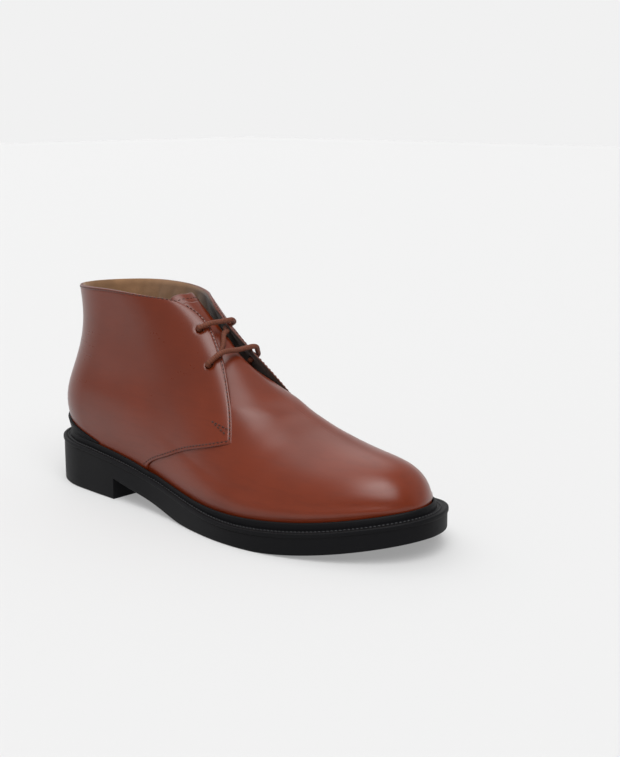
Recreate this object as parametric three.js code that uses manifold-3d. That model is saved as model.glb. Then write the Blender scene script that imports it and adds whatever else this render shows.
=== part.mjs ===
// Chukka boot for the right foot: a leather upper, open at the throat, on a welted rubber sole.
// Millimetres. X runs to the toe, Y to the inner side of the foot, Z up.
// The origin is on the ground, under the middle of the heel.
import * as THREE from 'three';
import { mergeVertices } from 'three/addons/utils/BufferGeometryUtils.js';
import Module from 'manifold-3d';

// Driving dimensions of the last
const LAST_LENGTH = 286;
const HEEL_TO_ORIGIN = 30;
const BALL_WIDTH = 96;
const HEEL_WIDTH = 68;
const INSTEP_HEIGHT = 85;
const COLLAR_HEIGHT = 129;

// Heights of the upper's lower edge over the ground
const FOREFOOT_STACK = 16;
const HEEL_STACK = 32.8;
const TOE_SPRING = 12;

// Leather
const VAMP_WALL = 1.8;
const QUARTER_STEP = 1.2;
const VAMP_SKIN = -0.4;
const THROAT_DEPTH = 8;
const THROAT_CLEARANCE = 14;
const TONGUE_THICKNESS = 2.4;
const TONGUE_SIDE = 27;
const TONGUE_TOP = 126;
const FIT = 0.35;

// Sole
const WELT_REACH = 8;
const WELT_THICKNESS = 3;
const WELT_BAND = 2;
const BEAD_WIDTH = 2.4;
const WELT_GROOVE = 0.6;
const SOLE_INSET = 0.6;
const HEEL_LENGTH = 85;
const BREAST_HEIGHT = 13.4;
const FOREFOOT_FLAT = { from: 168, to: 220 };
const SOLE_TOE_LIFT = 12.5;
const INSOLE_THICKNESS = 3;
const GUARD_THICKNESS = 1.3;
const GUARD_HEIGHT = 13;
const GUARD_REACH = 55;

// Lacing
const LACE_DIAMETER = 3.2;
const EYELET_DIAMETER = 5.2;
const LACE_TAIL = 9;
const LACE_EASE = 0.4;
const TOP_BAR_AT = 0.46;
const LOW_BAR_AT = 0.514;
const CROSSING_AT = 0.4795;

// Surface fineness
const RINGS = 24;
const COLUMNS = 26;
const EDGE_STEPS = 28;

// Plan of the upper's lower edge: half widths from the centre line, as shares of the ball width
const PLAN = [
  { at: -0.13, centre: -0.02, lateral: 0.38, medial: 0.345 },
  { at: 0.08, centre: -0.02, lateral: 0.34, medial: 0.345 },
  { at: 0.2, centre: -0.02, lateral: 0.36, medial: 0.332 },
  { at: 0.32, centre: -0.02, lateral: 0.383, medial: 0.321 },
  { at: 0.445, centre: -0.01, lateral: 0.438, medial: 0.346 },
  { at: 0.55, centre: 0.01, lateral: 0.51, medial: 0.396 },
  { at: 0.635, centre: 0.031, lateral: 0.552, medial: 0.43 },
  { at: 0.706, centre: 0.047, lateral: 0.556, medial: 0.446 },
  { at: 0.776, centre: 0.057, lateral: 0.523, medial: 0.442 },
  { at: 0.846, centre: 0.062, lateral: 0.455, medial: 0.415 },
  { at: 0.902, centre: 0.062, lateral: 0.37, medial: 0.368 },
  { at: 0.951, centre: 0.057, lateral: 0.26, medial: 0.28 },
  { at: 0.986, centre: 0.052, lateral: 0.136, medial: 0.155 },
  { at: 1, centre: 0.052, lateral: 0, medial: 0 },
];

// Height of the lower edge: shares of the heel's extra stack and of the toe spring
const FEATHER = [
  { at: -0.03, heel: 1, spring: 0 },
  { at: 0.11, heel: 0.99, spring: 0 },
  { at: 0.217, heel: 0.88, spring: 0 },
  { at: 0.322, heel: 0.68, spring: 0 },
  { at: 0.427, heel: 0.39, spring: 0 },
  { at: 0.531, heel: 0.125, spring: 0 },
  { at: 0.636, heel: 0, spring: 0 },
  { at: 0.741, heel: 0, spring: 0.07 },
  { at: 0.846, heel: 0, spring: 0.31 },
  { at: 0.934, heel: 0, spring: 0.67 },
  { at: 1, heel: 0, spring: 1 },
];

// Ridge of the foot over the lower edge, as shares of the instep height
const RIDGE = [
  { at: 0.322, rise: 1.422 },
  { at: 0.364, rise: 1.334 },
  { at: 0.409, rise: 1.235 },
  { at: 0.4615, rise: 1.118 },
  { at: 0.514, rise: 1.002 },
  { at: 0.566, rise: 0.889 },
  { at: 0.619, rise: 0.754 },
  { at: 0.671, rise: 0.634 },
  { at: 0.724, rise: 0.551 },
  { at: 0.776, rise: 0.475 },
  { at: 0.829, rise: 0.411 },
  { at: 0.874, rise: 0.366 },
  { at: 0.916, rise: 0.317 },
  { at: 0.951, rise: 0.252 },
  { at: 0.979, rise: 0.152 },
  { at: 0.994, rise: 0.059 },
  { at: 1, rise: 0 },
];

// Fullness of the forefoot's cross-section: crown of the top, shoulder of the side
const FULLNESS = [
  { at: 0.31, crown: 1.47, shoulder: 2 },
  { at: 0.5, crown: 1.47, shoulder: 2 },
  { at: 0.636, crown: 1.62, shoulder: 2 },
  { at: 0.776, crown: 1.82, shoulder: 2 },
  { at: 0.881, crown: 2.02, shoulder: 2.05 },
  { at: 1, crown: 2.02, shoulder: 2.1 },
];

// Back of the heel: height as a share of the collar height, setback of the last length
const BACK = [
  { height: 0.26, setback: 0.012 },
  { height: 0.325, setback: 0.002 },
  { height: 0.403, setback: -0.002 },
  { height: 0.496, setback: 0.004 },
  { height: 0.605, setback: 0.018 },
  { height: 0.713, setback: 0.031 },
  { height: 0.822, setback: 0.036 },
  { height: 0.915, setback: 0.033 },
  { height: 1.008, setback: 0.026 },
  { height: 1.085, setback: 0.02 },
];

// Level sections of the rear: half widths of the heel width, rounding of the last length
const SHAFT = [
  { height: 0.26, lateral: 0.538, medial: 0.487, back: 0.132, front: 0.3125 },
  { height: 0.357, lateral: 0.551, medial: 0.507, back: 0.132, front: 0.295 },
  { height: 0.481, lateral: 0.518, medial: 0.491, back: 0.132, front: 0.278 },
  { height: 0.62, lateral: 0.449, medial: 0.454, back: 0.132, front: 0.25 },
  { height: 0.76, lateral: 0.399, medial: 0.426, back: 0.139, front: 0.222 },
  { height: 0.884, lateral: 0.379, medial: 0.419, back: 0.146, front: 0.194 },
  { height: 1.008, lateral: 0.382, medial: 0.426, back: 0.153, front: 0.181 },
  { height: 1.124, lateral: 0.39, medial: 0.429, back: 0.16, front: 0.174 },
];

// Free edge of the quarters in side view, collar first, as shares of the collar height
const QUARTER_EDGE = [
  { at: -0.15, height: 1 },
  { at: 0.012, height: 1.003 },
  { at: 0.112, height: 1.014 },
  { at: 0.217, height: 1.019 },
  { at: 0.308, height: 1.009 },
  { at: 0.343, height: 1.002 },
  { at: 0.371, height: 0.993 },
  { at: 0.392, height: 0.98 },
  { at: 0.42, height: 0.95 },
  { at: 0.4475, height: 0.907 },
  { at: 0.4755, height: 0.851 },
  { at: 0.5035, height: 0.787 },
  { at: 0.5315, height: 0.72 },
  { at: 0.5595, height: 0.643 },
  { at: 0.5805, height: 0.58 },
  { at: 0.6015, height: 0.508 },
  { at: 0.623, height: 0.414 },
];

// Lower edge of the quarters, from the front corner down to the welt
const QUARTER_FOOT = [
  { at: 0.5645, height: 0.377 },
  { at: 0.486, height: 0.327 },
  { at: 0.437, height: 0.282 },
  { at: 0.3795, height: 0.225 },
  { at: 0.345, height: 0.165 },
];

// Eyelets in side view, upper and lower
const EYELETS = [
  { at: 0.448, height: 0.868 },
  { at: 0.502, height: 0.718 },
];

// Tongue's outside under the last's surface, in tongue thicknesses
const TONGUE_DEPTH = [
  { at: 0.36, depth: 3.9 },
  { at: 0.406, depth: 3.5 },
  { at: 0.434, depth: 3.1 },
  { at: 0.465, depth: 2.75 },
  { at: 0.4965, depth: 2.65 },
  { at: 0.5315, depth: 2.3 },
  { at: 0.559, depth: 1.85 },
  { at: 0.587, depth: 1.4 },
  { at: 0.6, depth: 1.2 },
  { at: 0.7, depth: 1.2 },
];

// Vamp's top edge and the tongue's root under it, on the ridge
const VAMP_TOP_AT = 0.583;
const TONGUE_ROOT_AT = 0.625;

// Reach of the welt beyond the upper, as a share of the full reach
const WELT_PLAN = [
  { at: -0.1, reach: 1 },
  { at: 0.2, reach: 1 },
  { at: 0.31, reach: 0.88 },
  { at: 0.39, reach: 0.7 },
  { at: 0.55, reach: 0.7 },
  { at: 0.68, reach: 1 },
  { at: 1.1, reach: 1 },
];

// Drop of the welt's top below the upper's lower edge, in welt thicknesses
const WELT_DROP = [
  { at: -0.1, drop: 1 },
  { at: 0.2, drop: 1.05 },
  { at: 0.38, drop: 0.88 },
  { at: 0.56, drop: 0.85 },
  { at: 0.66, drop: 1.2 },
  { at: 0.8, drop: 1.32 },
  { at: 0.94, drop: 1.2 },
  { at: 1.06, drop: 1.1 },
];

// Underside of the waist, breast first, as shares of the breast height
const ARCH = [
  { at: 0.269, lift: 1 },
  { at: 0.34, lift: 0.7 },
  { at: 0.399, lift: 0.48 },
  { at: 0.4475, lift: 0.26 },
  { at: 0.5, lift: 0.06 },
  { at: 0.56, lift: 0 },
];

// Natural cubic through the knots, straight beyond its ends
function spline(knots, values) {
  const count = knots.length;
  const step = knots.slice(1).map((knot, i) => knot - knots[i]);
  const slope = step.map((h, i) => (values[i + 1] - values[i]) / h);
  const bend = new Array(count).fill(0);
  const pivot = new Array(count).fill(0);
  for (let i = 1; i < count - 1; i += 1) {
    const diagonal = 2 * (step[i - 1] + step[i]) - step[i - 1] * pivot[i - 1];
    pivot[i] = step[i] / diagonal;
    bend[i] = (6 * (slope[i] - slope[i - 1]) - step[i - 1] * bend[i - 1]) / diagonal;
  }
  for (let i = count - 2; i > 0; i -= 1) {
    bend[i] -= pivot[i] * bend[i + 1];
  }
  const last = count - 1;
  const startSlope = slope[0] - (step[0] * bend[1]) / 6;
  const endSlope = slope[last - 1] + (step[last - 1] * bend[last - 1]) / 6;
  return (x) => {
    if (x <= knots[0]) {
      return values[0] + (x - knots[0]) * startSlope;
    }
    if (x >= knots[last]) {
      return values[last] + (x - knots[last]) * endSlope;
    }
    const i = knots.findIndex((knot, k) => k > 0 && x < knot) - 1;
    const h = step[i];
    const a = (knots[i + 1] - x) / h;
    const b = (x - knots[i]) / h;
    const curve = ((a ** 3 - a) * bend[i] + (b ** 3 - b) * bend[i + 1]) * h * h / 6;
    return a * values[i] + b * values[i + 1] + curve;
  };
}

const clamp = (value) => Math.min(1, Math.max(0, value));
const ease = (value) => clamp(value) ** 2 * (3 - 2 * clamp(value));
const softStep = (value) => clamp(value) ** 3 * (clamp(value) * (6 * clamp(value) - 15) + 10);

// Stations along the last: 0 at the back, 1 at the toe
const TOE_X = LAST_LENGTH - HEEL_TO_ORIGIN;
const stationX = (at) => at * LAST_LENGTH - HEEL_TO_ORIGIN;
const stationAt = (x) => (x + HEEL_TO_ORIGIN) / LAST_LENGTH;
// Square root of the distance to the toe, so that the toe rounds off
const toeRoot = (at) => -Math.sqrt(Math.max(0, 1 - at));

const along = (table, key, size) => {
  const curve = spline(table.map((row) => row.at), table.map((row) => row[key] * size));
  return (x) => curve(stationAt(x));
};
const alongRound = (table, key, size) => {
  const curve = spline(table.map((row) => toeRoot(row.at)), table.map((row) => row[key] * size));
  return (x) => curve(toeRoot(stationAt(x)));
};
const upward = (table, key, size) => {
  const heights = table.map((row) => row.height * COLLAR_HEIGHT);
  return spline(heights, table.map((row) => row[key] * size));
};

// Curves of the last
const heelShare = along(FEATHER, 'heel', HEEL_STACK - FOREFOOT_STACK);
const springShare = along(FEATHER, 'spring', TOE_SPRING);
const featherZ = (x) => FOREFOOT_STACK + heelShare(x) + springShare(x);
const centreY = along(PLAN, 'centre', BALL_WIDTH);
const plan = {
  lateral: alongRound(PLAN, 'lateral', BALL_WIDTH),
  medial: alongRound(PLAN, 'medial', BALL_WIDTH),
};
const ridgeRise = alongRound(RIDGE, 'rise', INSTEP_HEIGHT);
const ridgeZ = (x) => featherZ(x) + ridgeRise(x);
const crown = along(FULLNESS, 'crown', 1);
const shoulder = along(FULLNESS, 'shoulder', 1);
const backX = upward(BACK, 'setback', LAST_LENGTH);
const heelBackX = (z) => backX(z) - HEEL_TO_ORIGIN;
const shaft = {
  lateral: upward(SHAFT, 'lateral', HEEL_WIDTH),
  medial: upward(SHAFT, 'medial', HEEL_WIDTH),
  back: upward(SHAFT, 'back', LAST_LENGTH),
  front: upward(SHAFT, 'front', LAST_LENGTH),
};

// Ridge from the top of the throat to the toe, by length along it
const RIDGE_TOP_AT = 0.322;
const RIDGE_STEPS = 600;
const ridgeWalk = [{ x: TOE_X, z: ridgeZ(TOE_X), length: 0 }];
for (let i = 1; i <= RIDGE_STEPS; i += 1) {
  const x = TOE_X - (1 - RIDGE_TOP_AT) * LAST_LENGTH * (i / RIDGE_STEPS) ** 2;
  const z = ridgeZ(x);
  const before = ridgeWalk[i - 1];
  ridgeWalk.push({ x, z, length: before.length + Math.hypot(x - before.x, z - before.z) });
}
const RIDGE_LENGTH = ridgeWalk[RIDGE_STEPS].length;
const ridgeFrontX = (z) => {
  const next = ridgeWalk.findIndex((point) => point.z > z);
  if (next < 0) {
    return ridgeWalk[RIDGE_STEPS].x;
  }
  if (next === 0) {
    return TOE_X;
  }
  const a = ridgeWalk[next - 1];
  const b = ridgeWalk[next];
  return a.x + (b.x - a.x) * (z - a.z) / (b.z - a.z);
};
const ridgeAtShare = (share) => {
  const wanted = share * RIDGE_LENGTH;
  const next = Math.max(1, ridgeWalk.findIndex((point) => point.length >= wanted - 1e-9));
  const a = ridgeWalk[next - 1];
  const b = ridgeWalk[next];
  return a.x + (b.x - a.x) * clamp((wanted - a.length) / (b.length - a.length));
};

// Half width of the last at a place in the side view
const BLEND_FROM = 0.245;
const BLEND_TO = 0.573;
const SIDE_SWELL = 1;
function halfWidth(x, z, side) {
  const foot = plan[side](x);
  const rise = clamp((z - featherZ(x)) / Math.max(ridgeRise(x), 1e-6));
  const low = clamp(4 * rise);
  const swell = SIDE_SWELL * 4 * low * (1 - low) * clamp(-6 * toeRoot(stationAt(x)));
  const arch = Math.max(0, 1 - rise ** crown(x)) ** (1 / shoulder(x));
  const front = foot * arch + swell;
  const level = foot + (shaft[side](z) - foot) * ease((z - featherZ(x)) / 42);
  const behind = clamp(1 - (x - heelBackX(z)) / shaft.back(z)) ** 2.15;
  const ahead = clamp(1 - (ridgeFrontX(z) - x) / shaft.front(z)) ** 2.1;
  const rear = level * Math.sqrt(Math.max(0, 1 - behind - ahead));
  const share = softStep((stationAt(x) - BLEND_FROM) / (BLEND_TO - BLEND_FROM));
  return rear * (1 - share) + front * share;
}

// Rings of the last in side view, from the lower edge to above the collar
const RING_TOP = 1.13 * COLLAR_HEIGHT;
const BACK_FOOT_Z = featherZ(-HEEL_TO_ORIGIN);
const surface = [];
for (let i = 0; i <= RINGS; i += 1) {
  const share = i / RINGS;
  const rearZ = BACK_FOOT_Z + (RING_TOP - BACK_FOOT_Z) * share;
  const rearX = heelBackX(rearZ);
  const frontX = ridgeAtShare(share);
  const frontZ = ridgeZ(frontX);
  const places = [];
  for (let j = 0; j <= COLUMNS; j += 1) {
    const across = (1 - Math.cos(Math.PI * j / COLUMNS)) / 2;
    const x = rearX + (frontX - rearX) * across;
    const chord = featherZ(rearX) + (featherZ(frontX) - featherZ(rearX)) * across;
    const straight = rearZ + (frontZ - rearZ) * across;
    places.push({ x, z: straight + (featherZ(x) - chord) * (1 - share) ** 2 });
  }
  const lateral = places.map(({ x, z }) => [x, centreY(x) - halfWidth(x, z, 'lateral'), z]);
  const medial = places.map(({ x, z }) => [x, centreY(x) + halfWidth(x, z, 'medial'), z]);
  const ring = [...lateral.reverse(), ...medial.slice(1, COLUMNS)];
  surface.push(ring.map((point) => new THREE.Vector3(...point)));
}
const AROUND = 2 * COLUMNS;

// Outward normals of the rings, level along the lower edge
const outward = surface.map((ring, i) => ring.map((point, j) => {
  const above = surface[Math.min(i + 1, RINGS)][j];
  const below = surface[Math.max(i - 1, 0)][j];
  const rise = new THREE.Vector3().subVectors(above, below);
  const turn = new THREE.Vector3();
  turn.subVectors(ring[(j + 1) % AROUND], ring[(j + AROUND - 1) % AROUND]);
  const normal = new THREE.Vector3().crossVectors(rise, turn);
  if (i === 0) {
    normal.z = 0;
  }
  return normal.normalize();
}));
const facing = Math.sign(outward[0][0].x);
outward.forEach((ring) => ring.forEach((normal) => normal.multiplyScalar(facing)));

const wasm = await Module();
wasm.setup();

// Closed body from points and triangles
function bodyOf(points, triangles) {
  const mesh = new wasm.Mesh({
    numProp: 3,
    vertProperties: new Float32Array(points.flatMap((point) => [point.x, point.y, point.z])),
    triVerts: new Uint32Array(triangles.flat()),
  });
  return new wasm.Manifold(mesh);
}

function bodyOfGeometry(source) {
  const geometry = source.clone();
  geometry.deleteAttribute('normal');
  geometry.deleteAttribute('uv');
  const merged = mergeVertices(geometry, 1e-4);
  return new wasm.Manifold(new wasm.Mesh({
    numProp: 3,
    vertProperties: new Float32Array(merged.attributes.position.array),
    triVerts: new Uint32Array(merged.index.array),
  }));
}

// Body between closed rings of equal count, capped at both ends
function stack(rings) {
  const around = rings[0].length;
  const points = rings.flat();
  const triangles = [];
  const face = (a, b, c) => triangles.push([a, c, b]);
  for (let i = 0; i < rings.length - 1; i += 1) {
    for (let j = 0; j < around; j += 1) {
      const next = (j + 1) % around;
      const a = i * around + j;
      const b = i * around + next;
      face(a, b, b + around);
      face(a, b + around, a + around);
    }
  }
  [0, rings.length - 1].forEach((level) => {
    const ring = rings[level];
    const centre = points.length;
    const middle = new THREE.Vector3();
    ring.forEach((point) => middle.addScaledVector(point, 1 / around));
    points.push(middle);
    for (let j = 0; j < around; j += 1) {
      const a = level * around + j;
      const b = level * around + (j + 1) % around;
      if (level === 0) {
        face(b, a, centre);
      } else {
        face(a, b, centre);
      }
    }
  });
  return bodyOf(points, triangles);
}

// Last grown or shrunk along its normals, carried straight down below the lower edge
const SKIRT = 24;
function lastBody(growth) {
  const rings = surface.map((ring, i) => ring.map((point, j) => {
    const amount = typeof growth === 'function' ? growth(point) : growth;
    return point.clone().addScaledVector(outward[i][j], amount);
  }));
  const skirt = rings[0].map((point) => new THREE.Vector3(point.x, point.y, point.z - SKIRT));
  return stack([skirt, ...rings]);
}

// Slab across the boot over an outline drawn in side view
const HALF_SPAN = 90;
function sideSlab(outline, fromY = -HALF_SPAN, toY = HALF_SPAN) {
  const shape = new THREE.Shape(outline.map(([x, z]) => new THREE.Vector2(x, z)));
  const geometry = new THREE.ExtrudeGeometry(shape, { depth: toY - fromY, bevelEnabled: false });
  geometry.rotateX(Math.PI / 2);
  geometry.translate(0, toY, 0);
  return bodyOfGeometry(geometry);
}

// Slab over an outline drawn in plan
function planSlab(outline, fromZ, toZ) {
  const shape = new THREE.Shape(outline.map(([x, y]) => new THREE.Vector2(x, y)));
  const geometry = new THREE.ExtrudeGeometry(shape, { depth: toZ - fromZ, bevelEnabled: false });
  geometry.translate(0, 0, fromZ);
  return bodyOfGeometry(geometry);
}

// Heights of the sole
const weltDrop = along(WELT_DROP, 'drop', WELT_THICKNESS);
const welt = (x) => featherZ(x) - weltDrop(x);
const seatZ = (x) => welt(x) - WELT_THICKNESS;
const weltReach = along(WELT_PLAN, 'reach', WELT_REACH);
const SOLE_BACK_X = -HEEL_TO_ORIGIN - 2 * WELT_REACH;
const SOLE_FRONT_X = TOE_X + 2 * WELT_REACH;
const stations = (from, to, count) => {
  const result = [];
  for (let i = 0; i <= count; i += 1) {
    result.push(from + (to - from) * i / count);
  }
  return result;
};
const seatLine = (gap) => stations(SOLE_BACK_X, SOLE_FRONT_X, EDGE_STEPS)
  .map((x) => [x, seatZ(x) + gap]);

// Sides of the upper in side view
const edgeZ = along(QUARTER_EDGE, 'height', COLLAR_HEIGHT);
const edgeFromX = stationX(QUARTER_EDGE[0].at);
const edgeToX = stationX(QUARTER_EDGE[QUARTER_EDGE.length - 1].at);
const edgeLine = stations(edgeFromX, edgeToX, EDGE_STEPS).map((x) => [x, edgeZ(x)]);
const footLine = QUARTER_FOOT.map((row) => [stationX(row.at), row.height * COLLAR_HEIGHT]);
const footSeat = seatLine(FIT).filter(([x]) => x < footLine[footLine.length - 1][0]);
const quarterOutline = [...edgeLine, ...footLine, ...footSeat.reverse()];

// Line square to the ridge, from above it into the foot
const ABOVE_RIDGE = 0.35 * INSTEP_HEIGHT;
const squareToRidge = (at, reachIn) => {
  const x = stationX(at);
  const slope = (ridgeZ(x + 1) - ridgeZ(x - 1)) / 2;
  const size = Math.hypot(1, slope);
  const along = [1 / size, slope / size];
  const out = [x - along[1] * ABOVE_RIDGE, ridgeZ(x) + along[0] * ABOVE_RIDGE];
  const into = [x + along[1] * reachIn, ridgeZ(x) - along[0] * reachIn];
  return [out, into];
};
const vampTop = squareToRidge(VAMP_TOP_AT, ABOVE_RIDGE);
const VAMP_BACK_X = stationX(0.36);
const VAMP_HEIGHT = 1.2 * COLLAR_HEIGHT;
const vampOutline = [
  ...seatLine(FIT).filter(([x]) => x > VAMP_BACK_X),
  [SOLE_FRONT_X, VAMP_HEIGHT],
  [vampTop[0][0], VAMP_HEIGHT],
  ...vampTop,
  [VAMP_BACK_X, vampTop[1][1] - ABOVE_RIDGE],
];

// Place on the last grown by an amount, and the way out of it
function onLast(x, z, side, growth) {
  const sign = side === 'lateral' ? -1 : 1;
  const spot = (u, v) => new THREE.Vector3(u, centreY(u) + sign * halfWidth(u, v, side), v);
  const reach = 0.4;
  const alongX = spot(x + reach, z).sub(spot(x - reach, z));
  const alongZ = spot(x, z + reach).sub(spot(x, z - reach));
  const normal = alongZ.cross(alongX).multiplyScalar(sign).normalize();
  return { point: spot(x, z).addScaledVector(normal, growth), normal };
}

// Place over the ridge
const onRidge = (at, growth) => {
  const x = stationX(at);
  const slope = (ridgeZ(x + 1) - ridgeZ(x - 1)) / 2;
  const size = Math.hypot(1, slope);
  return new THREE.Vector3(x - slope * growth / size, centreY(x), ridgeZ(x) + growth / size);
};
// Throat: the opening between the quarters' facings, cut square to the leather
const THROAT_FROM = 0.33;
const THROAT_TO = 0.65;
const throatSections = stations(THROAT_FROM, THROAT_TO, EDGE_STEPS).map((at) => {
  const x = stationX(at);
  const corner = (side, growth) => onLast(x, edgeZ(x), side, growth).point;
  return [
    corner('lateral', THROAT_CLEARANCE),
    onRidge(at, THROAT_CLEARANCE),
    corner('medial', THROAT_CLEARANCE),
    corner('medial', -THROAT_DEPTH),
    corner('lateral', -THROAT_DEPTH),
  ];
});
const throat = stack(throatSections);

// Upper: vamp and the raised quarters over one hollow
const quarterSkin = VAMP_SKIN + QUARTER_STEP;
const innerSkin = VAMP_SKIN - VAMP_WALL;
const vampShell = lastBody(VAMP_SKIN);
const quarterShell = lastBody(quarterSkin);
const hollow = lastBody(innerSkin);
const quarters = quarterShell.intersect(sideSlab(quarterOutline)).subtract(throat);
const vamp = vampShell.intersect(sideSlab(vampOutline));
const upperUncut = quarters.add(vamp).subtract(hollow);

const eyelets = EYELETS.flatMap((row) => ['lateral', 'medial'].map((side) => {
  const x = stationX(row.at);
  const z = row.height * COLLAR_HEIGHT;
  return { x, z, side, ...onLast(x, z, side, 0) };
}));
const EYELET_DEPTH = 14;
const eyeletCut = ({ point, normal }) => {
  const radius = EYELET_DIAMETER / 2;
  const geometry = new THREE.CylinderGeometry(radius, radius, EYELET_DEPTH, 14);
  const turn = new THREE.Quaternion().setFromUnitVectors(new THREE.Vector3(0, 1, 0), normal);
  geometry.applyQuaternion(turn);
  geometry.translate(point.x, point.y, point.z);
  return bodyOfGeometry(geometry);
};
const upperBody = eyelets.reduce((body, eyelet) => body.subtract(eyeletCut(eyelet)), upperUncut);

// Tongue: rooted under the vamp, sunk below the facings so that the lace passes over it
const tongueDepth = along(TONGUE_DEPTH, 'depth', TONGUE_THICKNESS);
const tongueSkin = (point) => -Math.max(tongueDepth(point.x), FIT - innerSkin);
const tongueOuter = lastBody(tongueSkin);
const tongueInner = lastBody((point) => tongueSkin(point) - TONGUE_THICKNESS);
const tongueRoot = squareToRidge(TONGUE_ROOT_AT, TONGUE_SIDE);
const tongueBack = squareToRidge(RIDGE_TOP_AT, TONGUE_SIDE);
const tongueOutline = [
  ...tongueRoot,
  [tongueBack[1][0], Math.min(tongueBack[1][1], TONGUE_TOP - 5)],
  [tongueBack[1][0], TONGUE_TOP],
  [stationX(0.5), TONGUE_TOP],
];
const tongueBody = tongueOuter.intersect(sideSlab(tongueOutline)).subtract(tongueInner);

// Lower edge in plan, stepped out along its normals
const footRing = surface[0];
const footNormals = outward[0];
const footOutline = (growth) => footRing.map((point, j) => {
  const amount = typeof growth === 'function' ? growth(point) : growth;
  const moved = point.clone().addScaledVector(footNormals[j], amount);
  return [moved.x, moved.y];
});
const reachAt = (point) => weltReach(point.x);

// Welt: a ring with a bead against the upper, a groove and a proud outer band
const QUARTER_END_X = stationX(0.372);
const weltProfile = (point) => {
  const quarterShare = ease((QUARTER_END_X + 12 - point.x) / 10);
  const inner = VAMP_SKIN + QUARTER_STEP * quarterShare + FIT;
  const reach = reachAt(point);
  const beadFoot = inner + BEAD_WIDTH;
  const band = Math.max(reach - WELT_BAND, beadFoot + 0.35 * WELT_BAND);
  const grooveEnd = Math.max(band - 0.25 * WELT_BAND, beadFoot + 0.15 * WELT_BAND);
  return [
    { out: inner, base: seatZ, lift: FIT },
    { out: inner, base: featherZ, lift: -0.2 * BEAD_WIDTH },
    { out: inner + 0.25 * BEAD_WIDTH, base: featherZ, lift: 0 },
    { out: inner + 0.6 * BEAD_WIDTH, base: featherZ, lift: -0.08 * BEAD_WIDTH },
    { out: beadFoot, base: welt, lift: -WELT_GROOVE },
    { out: grooveEnd, base: welt, lift: -WELT_GROOVE },
    { out: band, base: welt, lift: 0 },
    { out: reach - 0.35 * WELT_BAND, base: welt, lift: 0 },
    { out: reach, base: welt, lift: -0.4 * WELT_BAND },
    { out: reach, base: seatZ, lift: FIT },
  ];
};
function sweepRing() {
  const profiles = footRing.map((point, j) => weltProfile(point).map(({ out, base, lift }) => {
    const spot = point.clone().addScaledVector(footNormals[j], out);
    spot.z = base(Math.min(spot.x, SOLE_FRONT_X)) + lift;
    return spot;
  }));
  const width = profiles[0].length;
  const points = profiles.flat();
  const triangles = [];
  for (let i = 0; i < profiles.length; i += 1) {
    const next = (i + 1) % profiles.length;
    for (let k = 0; k < width; k += 1) {
      const up = (k + 1) % width;
      const corners = [i * width + k, next * width + k, next * width + up, i * width + up];
      triangles.push([corners[0], corners[1], corners[2]], [corners[0], corners[2], corners[3]]);
    }
  }
  return bodyOf(points, triangles);
}
const weltBody = sweepRing();

// Outsole: side profile with heel, breast, arch and toe spring, cut to the plan
const arch = along(ARCH, 'lift', BREAST_HEIGHT);
const breastX = HEEL_LENGTH - HEEL_TO_ORIGIN - WELT_REACH;
const flatFromX = FOREFOOT_FLAT.from - HEEL_TO_ORIGIN - WELT_REACH;
const flatToX = FOREFOOT_FLAT.to - HEEL_TO_ORIGIN - WELT_REACH;
const soleFrontX = TOE_X + WELT_REACH;
const toeLift = (x) => SOLE_TOE_LIFT * clamp((x - flatToX) / (soleFrontX - flatToX)) ** 1.6;
const soleSide = [
  ...seatLine(0),
  [SOLE_FRONT_X, toeLift(SOLE_FRONT_X)],
  ...stations(soleFrontX, flatToX, 16).map((x) => [x, toeLift(x)]),
  ...stations(flatFromX, breastX, 12).map((x) => [x, Math.max(0, arch(x))]),
  [breastX, 0],
  [SOLE_BACK_X, 0],
];
const solePlan = footOutline((point) => reachAt(point) - SOLE_INSET);
const outsoleBody = sideSlab(soleSide).intersect(planSlab(solePlan, -1, COLLAR_HEIGHT));

// Insole: a board inside the upper, on the outsole
const insoleSide = [
  ...seatLine(FIT),
  ...seatLine(FIT + INSOLE_THICKNESS).reverse(),
];
const insolePlan = planSlab(footOutline(innerSkin - FIT), 0, COLLAR_HEIGHT);
const insoleBody = sideSlab(insoleSide).intersect(insolePlan);

// Heel guard: a crescent round the back, from the bead up
const guardFrontX = GUARD_REACH - HEEL_TO_ORIGIN;
const guardSpan = stations(-HEEL_TO_ORIGIN - 8, guardFrontX, 20);
const guardTop = guardSpan.map((x) => {
  const share = clamp((x + HEEL_TO_ORIGIN) / (guardFrontX + HEEL_TO_ORIGIN));
  return [x, featherZ(x) + FIT + 0.4 + GUARD_HEIGHT * (1 - share) ** 1.25];
});
const guardFoot = guardSpan.map((x) => [x, featherZ(x) + FIT]);
const guardBlock = sideSlab([...guardTop, ...guardFoot.reverse()]);
const guardSkin = quarterSkin + FIT;
const guardBody = lastBody(guardSkin + GUARD_THICKNESS)
  .intersect(guardBlock)
  .subtract(lastBody(guardSkin));

// Lace: one cord, through the lower pair of eyelets, under the far facing and the upper pair
const laceRadius = LACE_DIAMETER / 2;
const laceOver = quarterSkin + FIT + laceRadius;
const laceUnder = innerSkin - FIT - laceRadius;
const [topNear, topFar, lowNear, lowFar] = eyelets;
// Place between an eyelet and the ridge, at a share of the way
const towardRidge = (eyelet, at, share, growth) => {
  const x = eyelet.x + (stationX(at) - eyelet.x) * share;
  const z = eyelet.z + (ridgeZ(stationX(at)) - eyelet.z) * share;
  return onLast(x, z, eyelet.side, growth).point;
};
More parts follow.
